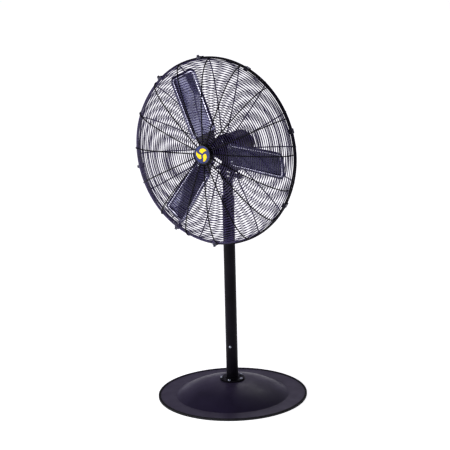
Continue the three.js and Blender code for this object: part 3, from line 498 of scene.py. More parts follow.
def moulded_plastic():
    """Glass-filled nylon moulding: matt black with a fine spark-eroded grain of about 0.6 mm."""
    look = start_material("moulded_black_nylon", "141318", 0.5, Specular_IOR_Level=0.45)
    vary_colour(look, 20, "111015", "1c1b21")
    vary_gloss(look, 9, 0.42, 0.58)
    grain = add(look.tree, "ShaderNodeTexVoronoi", {"Vector": look.where, "Scale": per_metre(0.6)})
    relief(look, grain.outputs["Distance"], 0.06, 0.5)
    return look.material


def extruded_rubber():
    """Extruded EPDM edge trim: matt black with faint lines along its length and grey bloom."""
    look = start_material("extruded_rubber", "141416", 0.72, Specular_IOR_Level=0.3)
    vary_colour(look, 26, "101012", "232327", 5.0)
    flattened = add(look.tree, "ShaderNodeMapping", {"Vector": look.where, "Scale": (0.05, 0.05, 1.0)})
    grained(look, 0.8, 0.08, 0.6, roughness=0.5, where=flattened.outputs["Vector"])
    return look.material


def ground_steel():
    """Ground bar and bearing steel: bright, with a fine drift in tone and gloss."""
    look = start_material("ground_steel", "a9abb0", 0.25, 1.0)
    vary_colour(look, 8, "989aa0", "bcbec3")
    vary_gloss(look, 1.5, 0.18, 0.36)
    return look.material


def lamination_steel():
    """Stacked electrical steel: each 0.5 mm sheet shows as a line, drawn at 2 mm."""
    look = start_material("stacked_lamination_steel", "6f7178", 0.45, 0.9)
    sheets = add(look.tree, "ShaderNodeTexWave", {
        "Vector": look.where, "Scale": per_metre(2) / (2 * math.pi), "Distortion": 0.4,
    }, bands_direction="Y")
    striped(look, sheets, "4d4f56", "7b7d85", 0.1, 0.6)
    return look.material


def enamelled_copper():
    """Varnished copper winding: warm wire strands about 1 mm thick under clear varnish."""
    look = start_material(
        "varnished_copper_wire", "a8572f", 0.35, 0.85, Coat_Weight=0.6, Coat_Roughness=0.15,
    )
    strands = add(look.tree, "ShaderNodeTexWave", {
        "Vector": look.where, "Scale": per_metre(1.4) / (2 * math.pi), "Distortion": 3.0,
        "Detail": 2.0,
    }, bands_direction="DIAGONAL")
    striped(look, strands, "6e3316", "c06a38", 0.3, 0.8)
    return look.material


def drawn_can():
    """Deep-drawn aluminium capacitor can: dull silver with streaks from the die."""
    look = start_material("drawn_aluminium_can", "a3a5a9", 0.36, 1.0)
    vary_colour(look, 10, "8f9196", "b4b6ba")
    streaked = add(look.tree, "ShaderNodeMapping", {"Vector": look.where, "Scale": (0.06, 1.0, 1.0)})
    grained(look, 1, 0.04, 0.5, roughness=0.5, where=streaked.outputs["Vector"])
    return look.material


def printed_badge(name, first, second):
    """Satin screen print on a pressed disc: even colour with a faint print mottle."""
    look = start_material(name, first, 0.45, Specular_IOR_Level=0.15)
    vary_colour(look, 9, first, second)
    vary_gloss(look, 5, 0.4, 0.55)
    return look.material


COAT = black_powder_coat()
ENAMEL = base_enamel()
MOTOR = motor_enamel()
# The mesh wires' lighter paint is partly a painted sheen.
WIRE = wire_coat()
BLADE = blade_metal()
# The rib crests' bright metal is a painted highlight.
CREST_HIGHLIGHT = painted_highlight_crest_metal()
ZINC = bright_zinc()
CLIP = clip_steel()
NYLON = moulded_plastic()
RUBBER = extruded_rubber()
STEEL = ground_steel()

# The usual finishes: the slot that a piece fills and its material.
PAINTED = ("black_paint", [COAT])
ENAMELLED = ("motor_paint", [MOTOR])
ZINCED = ("zinc_steel", [ZINC])
MOULDED = ("black_plastic", [NYLON])


# ---- fasteners and knobs

def hex_head(across_corners, height, washer_radius=0.0, washer=1.2):
    """A hexagon head on z = 0 with a chamfered crown, on a washer if it has one."""
    radius = across_corners / 2
    start = washer if washer_radius else 0
    corners = [(radius * math.cos(math.radians(60 * k)), radius * math.sin(math.radians(60 * k)))
               for k in range(6)]
    prism = moved(plate(corners, height - start), shift(z=start))
    bmesh.ops.recalc_face_normals(prism, faces=prism.faces)
    rims = [e for e in prism.edges if all(v.co.z > height - 0.01 for v in e.verts)]
    eased(prism, rims, height * 0.14)
    crown = rod(radius * 0.62, height - 0.4, height + 0.25, chamfer=0.3, steps=24)
    parts = [prism, crown]
    if washer_radius:
        parts.append(sleeve(radius * 0.5, washer_radius, 0, washer, fillet=0.35, steps=32))
    return merged(parts)


def lobed_grip(radius, length, lobes=6, fillet=1.6):
    """A moulded hand knob along +Z: rounded lobes, a bevelled rim and a sunk end."""
    steps = 96
    outline = []
    for i in range(steps):
        angle = 2 * math.pi * i / steps
        reach = radius * (0.92 + 0.08 * math.cos(lobes * angle))
        outline.append((reach * math.cos(angle), reach * math.sin(angle)))
    grip = plate(outline, length)
    bmesh.ops.recalc_face_normals(grip, faces=grip.faces)
    lid = max(grip.faces, key=lambda face: face.calc_center_median().z)
    bmesh.ops.inset_individual(grip, faces=[lid], thickness=radius * 0.34)
    bmesh.ops.inset_individual(grip, faces=[lid], thickness=radius * 0.06, depth=-1.4)
    rims = [e for e in grip.edges if len(e.link_faces) == 2 and e.calc_face_angle(0) > 1.2
            and max(v.co.xy.length for v in e.verts) > radius * 0.8]
    return eased(grip, rims, fillet, 3)


def radial(degrees, height):
    """Turns a shape drawn along +Z to point out from the pole at an angle and a height."""
    return shift(z=height) @ turn(degrees, "Z") @ turn(90, "Y")


def angle_of(node, place=FLOOR):
    low, high = extent(node, place)
    middle = (low + high) / 2
    return math.degrees(math.atan2(middle.y, middle.x)), middle


# ---- floor base

def build_base():
    low, high = extent("base_shell", FLOOR)
    flange_low, flange_high = extent("pole_flange", FLOOR)
    trim_high = extent("base_edge_trim", FLOOR)[1]
    radius, under, top = high.x, low.z, high.z
    sheet, hole = 3.5, 19
    flat_margin, seat_margin = 79.5, 4
    foot = trim_high.x - flat_margin
    seat = flange_high.x + seat_margin
    rise = top - under - sheet
    margin = under + sheet
    centre = (top + margin - (foot ** 2 - seat ** 2) / rise) / 2
    sphere = math.hypot(foot, margin - centre)
    arc = []
    steps = 26
    for i in range(1, steps):
        r = foot + (seat - foot) * i / steps
        arc.append((r, centre + math.sqrt(sphere ** 2 - r ** 2)))
    inner = [(r, z - sheet) for r, z in reversed(arc)]
    outline = [
        (hole, top - sheet, 0.5), (seat, top - sheet), *inner, (foot, under, 9),
        (radius, under, 0.6), (radius, margin, 0.6), (foot, margin, 9), *arc,
        (seat, top, 4), (hole, top, 0.8),
    ]
    shell = turned(rounded(outline, 4), steps=144)
    piece("base_dish", shell, FLOOR, "base", ("base_paint", [ENAMEL]), ["base_shell"], 28)

    wall = trim_high.x
    trim = [
        (wall - 16, 0, 1), (wall - 1, 0, 1.2), (wall, 1.2, 1.2), (wall, trim_high.z, 1.4),
        (radius - 5, trim_high.z, 0.7), (radius - 5, margin + GAP, 0.3),
        (radius + GAP, margin + GAP), (radius + GAP, under - GAP), (wall - 16, under - GAP, 0.8),
    ]
    piece("base_edge_bead", turned(rounded(trim, 4), steps=144), FLOOR, "base",
          ("rubber", [RUBBER]), ["base_edge_trim"])

    tube_low, tube_high = extent("outer_tube", FLOOR)
    spigot = tube_high.x - TUBE_WALL - GAP
    disc = [
        (spigot - 3, flange_low.z, 0.5), (flange_high.x, flange_low.z, 0.6),
        (flange_high.x, tube_low.z - GAP, 1.6), (spigot, tube_low.z - GAP),
        (spigot, flange_high.z, 1), (spigot - 3, flange_high.z, 0.8),
    ]
    weld = weld_bead(tube_high.x, tube_low.z)
    piece("pole_foot_flange", merged([turned(rounded(disc, 4), steps=96), weld]), FLOOR, "base",
          PAINTED, ["pole_flange"])

    for i in range(5):
        node = f"flange_bolt_{i + 1}"
        degrees, middle = angle_of(node)
        low, high = extent(node, FLOOR)
        head = hex_head(13, high.z - tube_low.z, 7)
        shank = rod(4, low.z - tube_low.z, 0.5, steps=20)
        place = shift(middle.x, middle.y, tube_low.z) @ turn(degrees + 17 * i, "Z")
        piece(f"flange_screw_{i + 1}", moved(merged([head, shank]), place), FLOOR, "base", ZINCED,
              [node])


def weld_bead(radius, height):
    """A fillet weld round the foot of the pole, with the ripples of a hand-run bead."""
    ripples = 64
    section = [(radius - 0.3, height), (radius + 4.2, height), (radius + 3.4, height + 1.8),
               (radius + 1.8, height + 3.4), (radius - 0.3, height + 4.2)]
    bead = turned(section, steps=ripples * 4)
    for v in bead.verts:
        angle = math.atan2(v.co.y, v.co.x)
        out = v.co.xy.length - radius
        if out > 1:
            swell = 1 + 0.07 * math.sin(angle * ripples) * min(out, 3) / 3
            v.co.xy = v.co.xy.normalized() * (radius + out * swell)
    return bead


# ---- telescoping pole

def build_pole():
    low, high = extent("outer_tube", FLOOR)
    radius = high.x
    tube = sleeve(radius - TUBE_WALL, radius, low.z, high.z, fillet=0.7, steps=96)
    piece("pole_outer_tube", tube, FLOOR, "base", PAINTED, ["outer_tube"])

    low, high = extent("inner_tube", FLOOR)
    slim = high.x
    tube = sleeve(slim - SLIM_WALL, slim, low.z, high.z, fillet=0.7, steps=96)
    piece("pole_inner_tube", tube, FLOOR, "column", PAINTED, ["inner_tube"])

    degrees, middle = angle_of("pole_screw")
    height = middle.z
    head = moved(hex_head(9.6, 2.6, 5.8, 0.7), shift(z=radius + GAP))
    shank = rod(3, radius - 5.7, radius + GAP + 0.5, steps=20)
    piece("pole_set_screw", moved(merged([head, shank]), radial(degrees, height)), FLOOR, "base",
          ZINCED, ["pole_screw"])

    knob_degrees, knob_middle = angle_of("height_knob")
    build_collar(radius, slim, knob_degrees, knob_middle.z)

    low, high = extent("height_knob", FLOOR @ radial(knob_degrees, knob_middle.z))
    grip_radius, grip_length = 13, 14
    start = high.z - grip_length
    grip = moved(lobed_grip(grip_radius, grip_length), shift(z=start))
    stud = rod(4, low.z, start + 2, chamfer=0.8, steps=24)
    skirt = rod(7, start - 2.4, start + 1, chamfer=0.8, steps=32)
    piece("height_hand_knob", moved(merged([grip, skirt, stud]), radial(knob_degrees, knob_middle.z)),
          FLOOR, "height_clamp", MOULDED, ["height_knob"])


def build_collar(radius, slim, degrees, screw_height):
    low, high = extent("tube_collar", FLOOR)
    inner = radius + GAP
    outer = inner + 2.3
    lip = high.z - 2.5
    outline = [
        (inner, low.z, 0.6), (outer, low.z, 1), (outer, low.z + 5, 0.8), (outer - 0.7, low.z + 5.8),
        (outer - 0.7, high.z - 6.8), (outer, high.z - 6, 0.8), (outer, high.z, 1.4),
        (slim + GAP, high.z, 0.5), (slim + GAP, lip), (inner, lip),
    ]
    ring = turned(rounded(outline, 3), steps=96)
    boss = turned(rounded([
        (4.3, inner + 1), (10.2, inner + 1), (9, inner + 5, 2), (9, inner + 9.7, 0.8),
        (4.3, inner + 9.7, 0.4),
    ], 4), steps=40)
    moved(boss, radial(degrees, screw_height))
    piece("clamp_collar", merged([ring, boss]), FLOOR, "base", PAINTED, ["tube_collar"])


# ---- yoke and motor bracket

def ear(width, bottom, top, radius, thickness, x):
    """An upright lug across X, round about the pivot on the end that `top` or `bottom` names."""
    outline = []
    for i in range(25):
        angle = math.pi * i / 24
        outline.append((radius * math.cos(angle), radius * math.sin(angle)))
    outline += [(-width / 2, bottom), (width / 2, bottom)]
    lug = plate(outline, thickness)
    place = Matrix(((0, 0, 1, x), (1, 0, 0, 0), (0, top, 0, 0), (0, 0, 0, 1)))
    return bevelled(moved(lug, place), 0.9, 2, 50)


def build_yoke():
    low, high = extent("yoke", FLOOR)
    pivot = Vector(joint("head_tilt")["pos_m"]) / MM
    tube_high = extent("inner_tube", FLOOR)[1]
    disc_bottom = tube_high.z + GAP
    disc_radius, disc_rise = high.x, 5
    disc = turned(rounded([
        (0, low.z), (20.2, low.z, 1.2), (20.2, disc_bottom), (disc_radius, disc_bottom, 0.8),
        (disc_radius, disc_bottom + disc_rise, 1.2), (0, disc_bottom + disc_rise),
    ], 3, False), steps=72, closed=False)
    cheek_outer = disc_radius - 1
    sides = []
    for x in (-cheek_outer, cheek_outer - CHEEK):
        lug = ear(34, disc_bottom + 4 - pivot.z, 1, 17, CHEEK, x)
        sides.append(moved(lug, shift(z=pivot.z)))
        fillet = rod(2.4, -15.5, 15.5, "Y", 0.8, 16)
        inside = x + CHEEK if x < 0 else x
        sides.append(moved(fillet, shift(x=inside, z=disc_bottom + disc_rise)))
    piece("yoke_casting", merged([disc, *sides]), FLOOR, "swivel_yoke", PAINTED, ["yoke"])


def build_bracket():
    low, high = extent("motor_bracket", HEAD)
    plate_bottom = high.z - SADDLE
    corners = [(low.x, low.y, 9), (high.x, low.y, 9), (high.x, high.y, 9), (low.x, high.y, 9)]
    top = bevelled(plate(rounded(corners, 6), SADDLE), 0.8)
    parts = [moved(top, shift(z=plate_bottom))]
    leg_high = extent("yoke", FLOOR)[1]
    inner = leg_high.x - 1 + GAP
    for x in (-inner - SADDLE, inner):
        parts.append(ear(36, -plate_bottom - 1, -1, 18, SADDLE, x))
        weld = rod(2.2, -17, 17, "Y", 1, 14)
        outside = x if x < 0 else x + SADDLE
        parts.append(moved(weld, shift(x=outside, z=plate_bottom)))
    piece("motor_saddle", merged(parts), HEAD, "head", PAINTED, ["motor_bracket"])

    for i in range(2):
        node = f"bracket_bolt_{i + 1}"
        low, high = extent(node, HEAD)
        middle = (low + high) / 2
        head = moved(hex_head(14, 5.5, 8.4), turn(180, "X"))
        shank = rod(4, -0.5, high.z + 10 - plate_bottom, steps=20)
        nut = moved(hex_head(13, 5.5, 8), shift(z=high.z - plate_bottom + 2 * GAP))
        bolt = moved(merged([head, shank, nut]), shift(middle.x, middle.y, plate_bottom - GAP))
        piece(f"saddle_bolt_{i + 1}", bolt, HEAD, "head", ZINCED, [node])

    low, high = extent("pivot_bolt", HEAD)
    head = moved(hex_head(17, 5.6, 9.6), shift(z=-low.x - 6))
    shank = rod(5, -high.x, -low.x - 5.5, steps=28)
    bolt = moved(merged([head, shank]), turn(-90, "Y"))
    piece("tilt_pivot_bolt", bolt, HEAD, "head", ZINCED, ["pivot_bolt"])

    low, high = extent("tilt_knob", HEAD)
    grip_radius, length = 13, 22
    start = high.x - length
    spacer = turned(rounded([
        (5.3, low.x), (9, low.x, 0.6), (9, start - 3, 0.5), (10.5, start - 2, 0.8),
        (10.5, start + 2), (5.3, start + 2),
    ], 3), steps=48)
    grip = moved(lobed_grip(grip_radius, length, fillet=2.2), shift(z=start))
    knob = moved(merged([spacer, grip]), turn(90, "Y"))
    piece("tilt_hand_knob", knob, HEAD, "tilt_clamp", MOULDED, ["tilt_knob"])


# ---- motor

def build_motor():
    front_low, front_high = extent("front_bell", FAN)
    rear_low, rear_high = extent("rear_bell", FAN)
    low = extent("motor_shell", FAN)[0]
    radius = front_high.x
    start, end = front_high.y + GAP, rear_low.y - GAP
    band = [(radius - 6, start, 0.5), (radius, start, 0.8)]
    for place in (start + 7, end - 7):
        band += [(radius, place - 2.4, 1), (radius - 1.4, place, 1.6), (radius, place + 2.4, 1)]
    band += [(radius, end, 0.8), (radius - 6, end, 0.5)]
    shell = turned(rounded(band, 3), "Y", 96)
    seam = bevelled(block((-3.2, start + 0.5, -0.9), (3.2, end - 0.5, 0.9)), 0.7)
    moved(seam, turn(152, "Y") @ shift(z=radius))
    piece("motor_barrel", merged([shell, seam, motor_foot(low, radius, start)]), FAN, "head",
          ENAMELLED, ["motor_shell"])

    front = end_bell(front_low.y, front_high.y, radius, 9.5)
    piece("motor_front_bell", front, FAN, "head", ENAMELLED, ["front_bell"])
    rear = end_bell(-rear_high.y, -rear_low.y, radius, 0)
    moved(rear, Matrix.Diagonal((1, -1, 1, 1)))
    piece("motor_rear_bell", rear, FAN, "head", ENAMELLED, ["rear_bell"])
    build_rear_fittings(rear_high.y)


def motor_foot(low, radius, start):
    """The cast foot under the barrel: a flange on the bracket and a filleted web."""
    width, length = 92, 60
    corners = [(s * width / 2, t * length / 2, 7) for s, t in ((-1, -1), (1, -1), (1, 1), (-1, 1))]
    flange = bevelled(plate(rounded(corners, 5), 6.5), 1)
    head_to_fan = FAN.inverted() @ HEAD
    plate_high = extent("motor_bracket", HEAD)[1]
    moved(flange, head_to_fan @ shift(z=plate_high.z + GAP))
    web = block((-20, start + 0.5, low.z + 5.5), (20, start + 50, -radius + 6))
    bmesh.ops.scale(web, vec=(1.25, 1.0, 1.0), verts=[v for v in web.verts if v.co.z < -radius - 5])
    return merged([flange, bevelled(web, 3, 3)])


def end_bell(face, back, radius, hole):
    """A cast end bell whose outer face looks towards -Y, with cooling pockets and ribs."""
    steps = 96
    pocket_in, pocket_out = radius - 34, radius - 19
    outline = [
        (hole, face), (16, face, 1), (18.5, face + 1.6, 1), (pocket_in, face + 1.6),
        (pocket_out, face + 1.6), (radius - 17, face + 1.6, 1), (radius - 15, face, 1.2),
        (radius - 4, face + 6, 4), (radius, face + 14, 5), (radius, back, 0.7),
        (radius - 6, back, 0.4), (radius - 7, face + 14), (radius - 17, face + 5.5),
        (hole, face + 5.5),
    ]
    bell = turned(rounded(outline, 3, hole > 0), "Y", steps, closed=hole > 0)
    bmesh.ops.remove_doubles(bell, verts=bell.verts, dist=0.01)
    bmesh.ops.recalc_face_normals(bell, faces=bell.faces)
    pockets = []
    for f in bell.faces:
        centre = f.calc_center_median()
        reach = math.hypot(centre.x, centre.z)
        turn_share = (math.degrees(math.atan2(centre.x, centre.z)) % 30) / 30
        if pocket_in < reach < pocket_out and centre.y < face + 2 and 0.2 < turn_share < 0.8:
            pockets.append(f)
    for sunk in (0.0, 2.6):
        bmesh.ops.inset_region(bell, faces=pockets, thickness=0.7, depth=-sunk,
                               use_even_offset=True, use_boundary=True)
    return bell


def build_rear_fittings(face):
    """Speed knob on its dial plate, cable gland and the four through bolts."""
    low, high = extent("speed_knob", FAN)
    middle = (low + high) / 2
    dial = sleeve(4.4, 17, face - 0.4, face + GAP, "Y", 0.2, 64)
    ticks = []
    for i in range(4):
        tick = block((-0.7, face + 0.1, 13.2), (0.7, face + 0.75, 16.4))
        ticks.append(painted(moved(tick, turn(-105 + 70 * i, "Y")), 1))
    moved_dial = moved(merged([dial, *ticks]), shift(z=middle.z))
    piece("speed_dial_plate", moved_dial, FAN, "head", ("black_plastic", [NYLON, ZINC]))

    grip = moved(lobed_grip(12, 15.4, 12, 1.2), turn(-90, "X") @ shift(z=GAP + 0.6))
    pointer = bevelled(block((-1, 15, 2.5), (1, 16.4, 10.6)), 0.3)
    pointer = painted(moved(pointer, turn(-105, "Y")), 1)
    spindle = rod(3, low.y - face, 2, "Y", 0.4, 20)
    knob = moved(merged([grip, pointer, spindle]), shift(y=face, z=middle.z))
    piece("speed_dial_knob", knob, FAN, "speed_control", ("black_plastic", [NYLON, ZINC]),
          ["speed_knob"])

    low, high = extent("cable_gland", FAN)
    middle = (low + high) / 2
    nut = moved(hex_head(20, 7.6), turn(-90, "X") @ shift(z=GAP))
    dome = turned(rounded([
        (4, 6), (8.4, 6), (8.4, 9.5, 1.5), (6, 15.9, 1.5), (4, 15.9, 0.5),
    ], 4), "Y", 40)
    barrel = sleeve(4, 7, low.y - face, 1, "Y", 0.4, 32)
    inner_nut = sleeve(6.5, 10, low.y - face, low.y - face + 4.6, "Y", 0.5, 32)
    gland = moved(merged([nut, dome, barrel, inner_nut]), shift(y=face, z=middle.z))
    piece("gland", gland, FAN, "head", MOULDED, ["cable_gland"])

    for i in range(4):
        head = moved(hex_head(9, 3.6, 5.6, 0.8), turn(-90, "X") @ shift(z=GAP))
        head = moved(head, turn(45 + 90 * i, "Y") @ shift(y=face, z=38))
        piece(f"through_bolt_{i + 1}", head, FAN, "head", ZINCED)


# ---- propeller

BLADE_ROOT, BLADE_TIP = 84, 372
ROOT_PITCH, TIP_PITCH = 18, 12
ROOT_CHORD, TIP_CHORD, TIP_SHIFT = 120, 127, 16
CAMBER = 10
FLAT_END = 0.14  # share of the blade that lies flat on its arm
FIRST_BLADE = 88  # degrees clockwise from the top, seen from the front
SHEET, ARM = 2.5, 4  # thickness of the blade and of the hub's arm
ARM_HALF = 49
ARM_SHOULDER, ARM_END = 88, 118
RIVET_SPREAD, RIVET_RING = 34, 100


def smoothstep(share, start, end):
    t = min(max((share - start) / (end - start), 0), 1)
    return t * t * (3 - 2 * t)


def bead(distance):
    """Height of the pressed rib that runs round the blade, at a distance from its edge.

    It climbs gently to its crest, so that it shows as a broad band, and drops sharply inside."""
    height, crest, inside = 4.2, 12, 19
    climb = height * smoothstep(distance, -3, crest + 1)
    return climb * (1 - smoothstep(distance, crest, inside))


def blade_sheet():
    """One pressed blade that points up: chord along X, the -X edge forward."""
    sheet = bmesh.new()
    bmesh.ops.create_grid(sheet, x_segments=88, y_segments=150, size=1)
    length = BLADE_TIP - BLADE_ROOT
    tip_corner, root_corner = 24, 12
    painted_highlight_start, painted_highlight_end = 9.5, 14
    inset = {}
    for v in sheet.verts:
        across, share = v.co.x, (v.co.y + 1) / 2
        half = (ROOT_CHORD + (TIP_CHORD - ROOT_CHORD) * share) / 2
        x = across * half
        out = length * share
        for corner, weight in ((tip_corner, -share ** 7), (root_corner, (1 - share) ** 7)):
            over = max(0, abs(x) - (half - corner))
            out += weight * (corner - math.sqrt(corner ** 2 - over ** 2))
        side = half - abs(x)
        end = length - out
        over_x, over_z = tip_corner - side, tip_corner - end
        edge = min(side, end)
        if over_x > 0 and over_z > 0:
            edge = tip_corner - math.hypot(over_x, over_z)
        inset[v.index] = edge if out > 8 else 0
        rise = bead(edge) * smoothstep(out, 8, 30)
        bend = smoothstep(share, FLAT_END, 1)
        y = CAMBER * bend * (1 - across ** 2) - rise
        x += TIP_SHIFT * share
        pitch = math.radians(ROOT_PITCH - (ROOT_PITCH - TIP_PITCH) * bend)
        v.co = (x * math.cos(pitch) - y * math.sin(pitch),
                x * math.sin(pitch) + y * math.cos(pitch), BLADE_ROOT + out)
    # Faces along the rib's crest get the second material, a painted highlight line.
    for face in sheet.faces:
        middle = sum(inset[v.index] for v in face.verts) / len(face.verts)
        face.material_index = 1 if painted_highlight_start < middle < painted_highlight_end else 0
    return sheet


def hub_arm():
    outline = rounded([
        (-22, 0), (22, 0), (ARM_HALF, ARM_SHOULDER, 10), (ARM_HALF, ARM_END, 9),
        (-ARM_HALF, ARM_END, 9), (-ARM_HALF, ARM_SHOULDER, 10),
    ], 5)
    arm = bevelled(plate(outline, ARM), 0.7)
    rib = turned(rounded([(0, 14), (5, 14, 3), (3.4, 104, 3), (0, 104)], 4, False), "Z", 20, False)
    moved(rib, turn(-90, "X") @ Matrix.Diagonal((1, 0.7, 1, 1)))
    back = SHEET / 2 + GAP + ARM
    return moved(merged([arm, rib]), shift(y=back) @ STAND_UP)


def rivet():
    """A domed head on each side of the blade and its arm, joined by the shank."""
    head, shank, dome = 7, 3.5, 2.8
    front, back = -SHEET / 2 - GAP, SHEET / 2 + 2 * GAP + ARM
    bow = [math.radians(15 * i) for i in range(1, 7)]
    outline = [(0, front - dome)]
    outline += [(head * math.sin(a), front - dome * math.cos(a)) for a in bow]
    outline += [(shank, front), (shank, back), (head, back)]
    outline += [(head * math.sin(a), back + dome * math.cos(a)) for a in bow[-2::-1]]
    outline.append((0, back + dome))
    return turned(outline, "Y", 28, closed=False)


def build_propeller():
    middle = shift(y=-BLADE_PLANE)
    pitched = turn(ROOT_PITCH, "Z")
    boss = turned(rounded([
        (8.3, -23, 0.5), (17, -23, 1), (19, -20, 3), (25.5, -18.5, 3), (27, -8, 2), (27, 23, 1.6),
        (8.3, 23, 0.5),
    ], 4), "Y", 72)
    stations = [turn(FIRST_BLADE + 120 * i, "Y") for i in range(3)]
    arms = copies(moved(hub_arm(), pitched), stations)
    piece("hub_spider", moved(merged([boss, arms]), middle), FAN, "propeller",
          ("black_paint", [MOTOR]), ["blade_hub"])
    for i, station in enumerate(stations):
        # Each blade's second material paints a highlight along its rib crest.
        blade = piece(f"blade_panel_{i + 1}", blade_sheet(), FAN @ middle @ station, "propeller",
                      ("blade_metal", [BLADE, CREST_HIGHLIGHT]), [f"blade_{i + 1}"], 60)
        wall = blade.modifiers.new("sheet", "SOLIDIFY")
        wall.thickness = SHEET * MM
        wall.offset = 0
        for j, x in enumerate((-RIVET_SPREAD, RIVET_SPREAD)):
            head = moved(rivet(), pitched @ shift(x=x, z=RIVET_RING))
            piece(f"blade_{i + 1}_rivet_head_{j + 1}", head, FAN @ middle @ station, "propeller",
                  ZINCED, [f"blade_{i + 1}_rivet_{j + 1}"])


# ---- wire guard

RIM, RIM_WIRE, MESH_WIRE, RIB_WIRE = 412.5, 7, 3.5, 5
RIM_OFFSET = 7
WIRE_PITCH = 11
STIFF_RINGS = (300, 190)
RIBS = 16


def guard_depth(radius, depth):
    """The CAD guard's own profile: distance of the ribs from the joint plane at a radius."""
    share = max(0, 1 - (radius / RIM) ** 3.2)
    return RIM_OFFSET + (depth - RIM_OFFSET) * share ** 0.42


def profile(inner, depth):
    """Points along the guard's profile from the rim inwards, close together at the rim."""
    steps = 600
    points = []
    for i in range(steps + 1):
        radius = inner + (RIM - inner) * math.sin(math.pi / 2 * (1 - i / steps))
        points.append(Vector((radius, guard_depth(radius, depth))))
    return points


def spaced(points, pitch):
    """Places along a profile at equal distances, each with the direction of travel."""
    travelled, due, found = 0.0, pitch, []
    for a, b in zip(points, points[1:]):
        travelled += (b - a).length
        if travelled >= due:
            found.append((b, (b - a).normalized()))
            due += pitch
    return found


def guard_rib(points, side):
    rib_points = points[:40:4] + points[40::28] + [points[-1]]
    return swept([Vector((0, side * depth, radius)) for radius, depth in rib_points],
                 RIB_WIRE / 2)


def build_guard(name, node, inner, depth, side, first_rib):
    """One half of the guard: side is -1 for the front, and the depth is in millimetres."""
    points = profile(inner, depth)
    rings = [torus(RIM, RIM_WIRE, side * RIM_OFFSET, steps=144, sides=12)]
    for place, along in spaced(points, WIRE_PITCH):
        inwards = Vector((along.y, -along.x))
        if inwards.y > 0:
            inwards.negate()
        wire = RIB_WIRE if any(abs(place.x - r) < WIRE_PITCH / 2 for r in STIFF_RINGS) else MESH_WIRE
        centre = place + inwards * (RIB_WIRE / 2 + wire / 2 - 0.5)
        if centre.y < RIM_OFFSET or centre.x < inner + 6:
            continue
        rings.append(torus(centre.x, wire, side * centre.y, steps=120, sides=6))
    rings.append(torus(inner, RIB_WIRE + 1, side * guard_depth(inner, depth), steps=96, sides=10))
    stations = [turn(first_rib + 360 / RIBS * i, "Y") for i in range(RIBS)]
    ribs = painted(copies(guard_rib(points, side), stations), 1)
    edges = painted(merged([rings[0], rings[-1]]), 1)
    # The mesh rings get the lighter paint with its painted sheen; the rim, inner ring and ribs get the
    # powder coat.
    piece(name, merged([*rings[1:-1], edges, ribs]), FAN, "head", ("wire_paint", [WIRE, COAT]), [node],
          50)


def build_mount():
    low, high = extent("guard_mount_plate", FAN)
    ring = sleeve(24, 44, low.y, high.y, "Y", 0.8, 72)
    arm = bevelled(plate(rounded([(-7, 38), (7, 38), (7, 67, 3), (-7, 67, 3)]), 3), 0.6)
    moved(arm, shift(y=high.y) @ STAND_UP)
    thirds = [turn(120 * i, "Y") for i in range(3)]
    arms = copies(arm, thirds)
    hook = swept([Vector((x, 50.5, 66)) for x in (-7, 7)], 2.6)
    hooks = copies(hook, thirds)
    piece("guard_mount_ring", merged([ring, arms, hooks]), FAN, "head", PAINTED, ["guard_mount_plate"])
    for i in range(3):
        node = f"guard_screw_{i + 1}"
        head = moved(hex_head(11, 4, 6.2, 0.9), turn(90, "X"))
        shank = rod(3, -0.5, 8.5, "Y", 0.4, 20)
        screw = moved(merged([head, shank]), turn(120 * i, "Y") @ shift(y=low.y - GAP, z=34))
        piece(f"guard_mount_screw_{i + 1}", screw, FAN, "head", ZINCED, [node])


def guard_clip():
    """A spring steel clip over both rim wires with a finger tongue, drawn at the guard's top."""
    inside, wall, half = 417.2, 1.8, 11
    reach = RIM_OFFSET + RIM_WIRE / 2 + 1.2
    outer, low = reach + wall, inside - 10
    section = rounded([
        (-outer, low, 0.8), (-reach, low, 0.8), (-reach, inside, 1.6), (reach, inside, 1.6),
        (reach, low, 0.8), (outer, low, 0.8), (outer, inside + wall, 3),
        (3 - outer, inside + wall, 3), (-outer - 1, inside + 10.6, 0.7),
        (-outer - 3, inside + 9.6, 0.7), (-outer, inside + 0.8, 3),
    ], 4)
    strip = moved(plate(section, 2 * half), shift(z=-half))
    bmesh.ops.bisect_plane(strip, geom=strip.verts[:] + strip.edges[:] + strip.faces[:],
                           plane_co=(0, inside + 4, 0), plane_no=(0, 1, 0))
    for v in strip.verts:
        if v.co.y > inside + 3.8:
            v.co.z *= 0.55
    place = Matrix(((0, 0, 1, 0), (1, 0, 0, 0), (0, 1, 0, 0), (0, 0, 0, 1)))
    return bevelled(moved(strip, place), 0.3, 2, 50)


def build_clips():
    to_fan = FAN.inverted()
    for i in range(8):
        hinge = to_fan @ Vector(joint(f"clip_{i + 1}_open")["pos_m"])
        station = turn(math.degrees(math.atan2(hinge.x, hinge.z)), "Y")
        piece(f"spring_clip_{i + 1}", guard_clip(), FAN @ station, f"clip_{i + 1}",
              ("clip_steel", [CLIP]), [f"guard_clip_{i + 1}"])


def build_badge():
    low, high = extent("centre_badge", FAN)
    radius, front, back = high.x, low.y, high.y
    body = turned(rounded([
        (0, front + 2), (radius - 4, front + 2), (radius - 3.6, front, 0.6),
        (radius - 0.8, front, 1.2), (radius, back, 0.6), (0, back),
    ], 3, False), "Y", 96, closed=False)
    piece("badge_cup", body, FAN, "head", ("badge", [NYLON]), ["centre_badge"])
    blue = printed_badge("badge_blue_print", "353c68", "3f4674")
    yellow = printed_badge("badge_yellow_print", "f7cf14", "fbd924")
    disc = turned(rounded([
        (0, front + 1.1), (radius - 9, front + 1.3, 4), (radius - 4.3, front + 1.7, 0.2),
        (radius - 4.3, front + 2.2), (0, front + 2.2),
    ], 3, False), "Y", 96, closed=False)
    piece("badge_face", disc, FAN, "head", ("badge", [blue]))
    mark = copies(badge_petal(front + 1.3), [turn(120 * i, "Y") for i in range(3)])
    piece("badge_pinwheel", mark, FAN, "head", ("badge", [yellow]))


